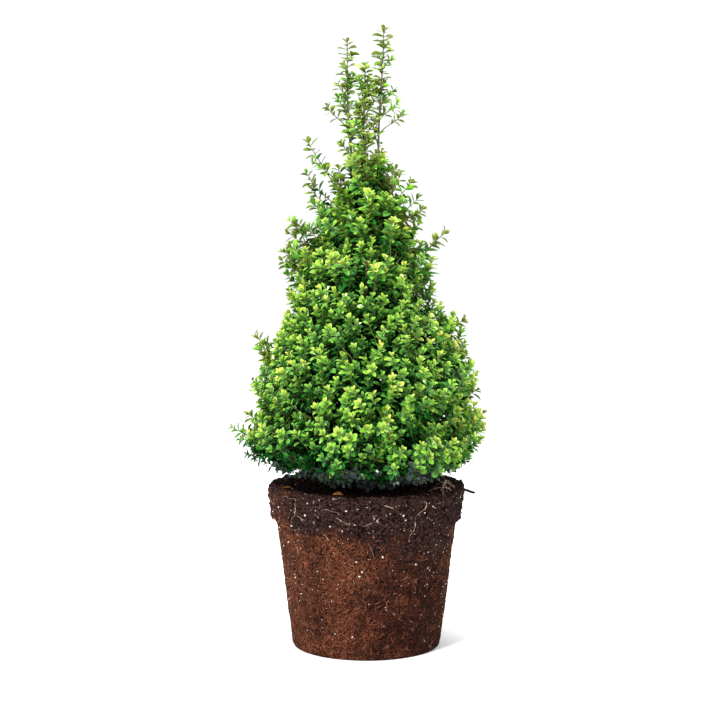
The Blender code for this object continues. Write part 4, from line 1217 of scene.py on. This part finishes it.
def crown_curves(leaders, boughs, rng):
    """Curves of all shoots by kind: branches from the limbs, and twigs from both."""
    limbs = list(leaders.values()) + boughs
    limb_points = np.concatenate([path[len(path) // 4 :] for path in limbs])
    limb_ways = np.concatenate([path_ways(path)[len(path) // 4 :] for path in limbs])
    tips = crown_tips(*BRANCH_LAYER, rng)
    branches = grow(tips, arrivals(tips, rng), limb_points, limb_ways, 0.07)
    points, ways = carriers_of(branches, 0.3)
    carriers = np.concatenate((points, limb_points)), np.concatenate((ways, limb_ways))

    def layer(values):
        tips = crown_tips(*values, rng)
        return grow(tips, arrivals(tips, rng), *carriers, 0.034)

    return {
        "branch": branches,
        "rosette": layer(OUTER_LAYER),
        "shaded": layer(SHADED_LAYER),
        "inner": np.concatenate([layer(values) for values in INNER_LAYERS]),
        "long": proud_curves(*carriers, rng),
        "spire": loose_curves(*carriers, rng),
        "side": side_shoots(leaders),
        "leader": np.stack([leader_shoot(name) for name in LEADERS]),
        "tuft": tufts(leaders),
    }


def add_twigs(curves):
    """The twigs in bark, this year's green ones, the cut one and the leaders' shoots."""
    foliage = nodes_of("foliage_")

    def add(name, skin, *kinds):
        twigs = joined([twigs_along(curves[kind], *TWIGS[kind]) for kind in kinds])
        add_piece(mesh_of(name, *twigs), skin, "foliage", *foliage)

    brown = two_tone("bark_of_young_wood", "#5c4637", "#36261d", 0.0015, 0.7, 0.0003, 0.3)
    green = two_tone("skin_of_green_stem", "#7d8a48", "#515c2e", 0.010, 0.55, 0.0001)
    add("twigs_woody", brown, "branch", "shaded", "inner")
    add("twigs_green", green, "rosette", "long", "spire", "side", "tuft")
    cut = resampled(np.array(CUT_TWIG), 0.002)
    dry = two_tone("bark_of_dry_twig", "#b0896a", "#6d4e38", 0.003, 0.7, 0.0002, 0.4)
    stub = bark_limb(cut, np.linspace(0.0013, 0.0009, len(cut)), 8, 0.0001, 99)
    add_piece(mesh_of("twig_cut_back", *stub), dry, "foliage")
    ripening = two_tone("skin_of_ripening_stem", "#84805c", "#554c3c", 0.008, 0.6, 0.0002, 0.4)
    add("twigs_leading", ripening, "leader")


def add_leaves(curves, rng):
    """The leaves of all shoots, joined by tint in pieces of under 200,000 triangles."""
    foliage = nodes_of("foliage_")
    sets = [grow_leaves(curves[kind], kind, rng) for kind in LEAF_KINDS]
    leaves = {key: np.concatenate([one[key] for one in sets]) for key in sets[0]}
    tint = deal_tints(leaves)
    for index, (name, looks) in enumerate(TINTS.items()):
        chosen = np.flatnonzero(tint == index)
        finish = evergreen_leaf(f"holly_leaf_{name}", *looks)
        parts = np.array_split(chosen, len(chosen) // LEAVES_A_PIECE + 1)
        for number, part in enumerate(parts, 1):
            some = {key: values[part] for key, values in leaves.items()}
            add_piece(leaf_mesh(f"leaves_{name}_{number}", some), finish, "foliage", *foliage)


def add_aimed(name, data, place, aim):
    """A light or a camera at a place, turned to a point."""
    made = bpy.data.objects.new(name, data)
    made.location = place
    made.rotation_euler = (aim - made.location).to_track_quat("-Z", "Y").to_euler()
    bpy.context.scene.collection.objects.link(made)
    return made


def add_stage():
    """Plain pale floor in a plain bright studio, a soft key light and the camera."""
    mesh = bpy.data.meshes.new("floor")
    square = ((-1, -1), (1, -1), (1, 1), (-1, 1))
    corners = [(x * FLOOR_REACH, y * FLOOR_REACH, 0) for x, y in square]
    mesh.from_pydata(corners, [], [(0, 1, 2, 3)])
    mesh.materials.append(surface("matt_floor", Roughness=0.9, Base_Color=linear("#f6f6f5"))[0])
    floor = bpy.data.objects.new("floor", mesh)
    bpy.context.scene.collection.objects.link(floor)

    world = bpy.data.worlds.new("studio")
    world.use_nodes = True
    feed(world.node_tree.nodes["Background"],
         {"Color": STUDIO_COLOUR, "Strength": STUDIO_STRENGTH})
    bpy.context.scene.world = world
    for name, (place, width, watts) in LIGHTS.items():
        light = add_aimed(name, bpy.data.lights.new(name, "AREA"), place, LIT_POINT)
        light.data.size = width
        light.data.energy = watts

    back = Vector((0, -math.cos(CAMERA_ELEVATION), math.sin(CAMERA_ELEVATION)))
    camera = add_aimed("camera", bpy.data.cameras.new("camera"),
                       CAMERA_AIM + back * CAMERA_DISTANCE, CAMERA_AIM)
    camera.data.lens = CAMERA_LENS
    bpy.context.scene.camera = camera
    bpy.context.scene.view_settings.view_transform = "Standard"


def main():
    """Builds the stage, the ball, the limbs and the crown."""
    leaders = {name: leader_path(name) for name in LEADERS}
    boughs = bough_paths(leaders)
    rng = np.random.default_rng(7)
    add_stage()
    add_ball_surface()
    add_crumbs(rng)
    add_perlite(rng)
    add_felt_fibres(rng)
    add_pale_roots(rng)
    add_dead_leaves(rng)
    add_root_stub()
    add_limbs(leaders, boughs)
    crown_rng = np.random.default_rng(2024)
    curves = crown_curves(leaders, boughs, crown_rng)
    add_twigs(curves)
    add_leaves(curves, crown_rng)


main()
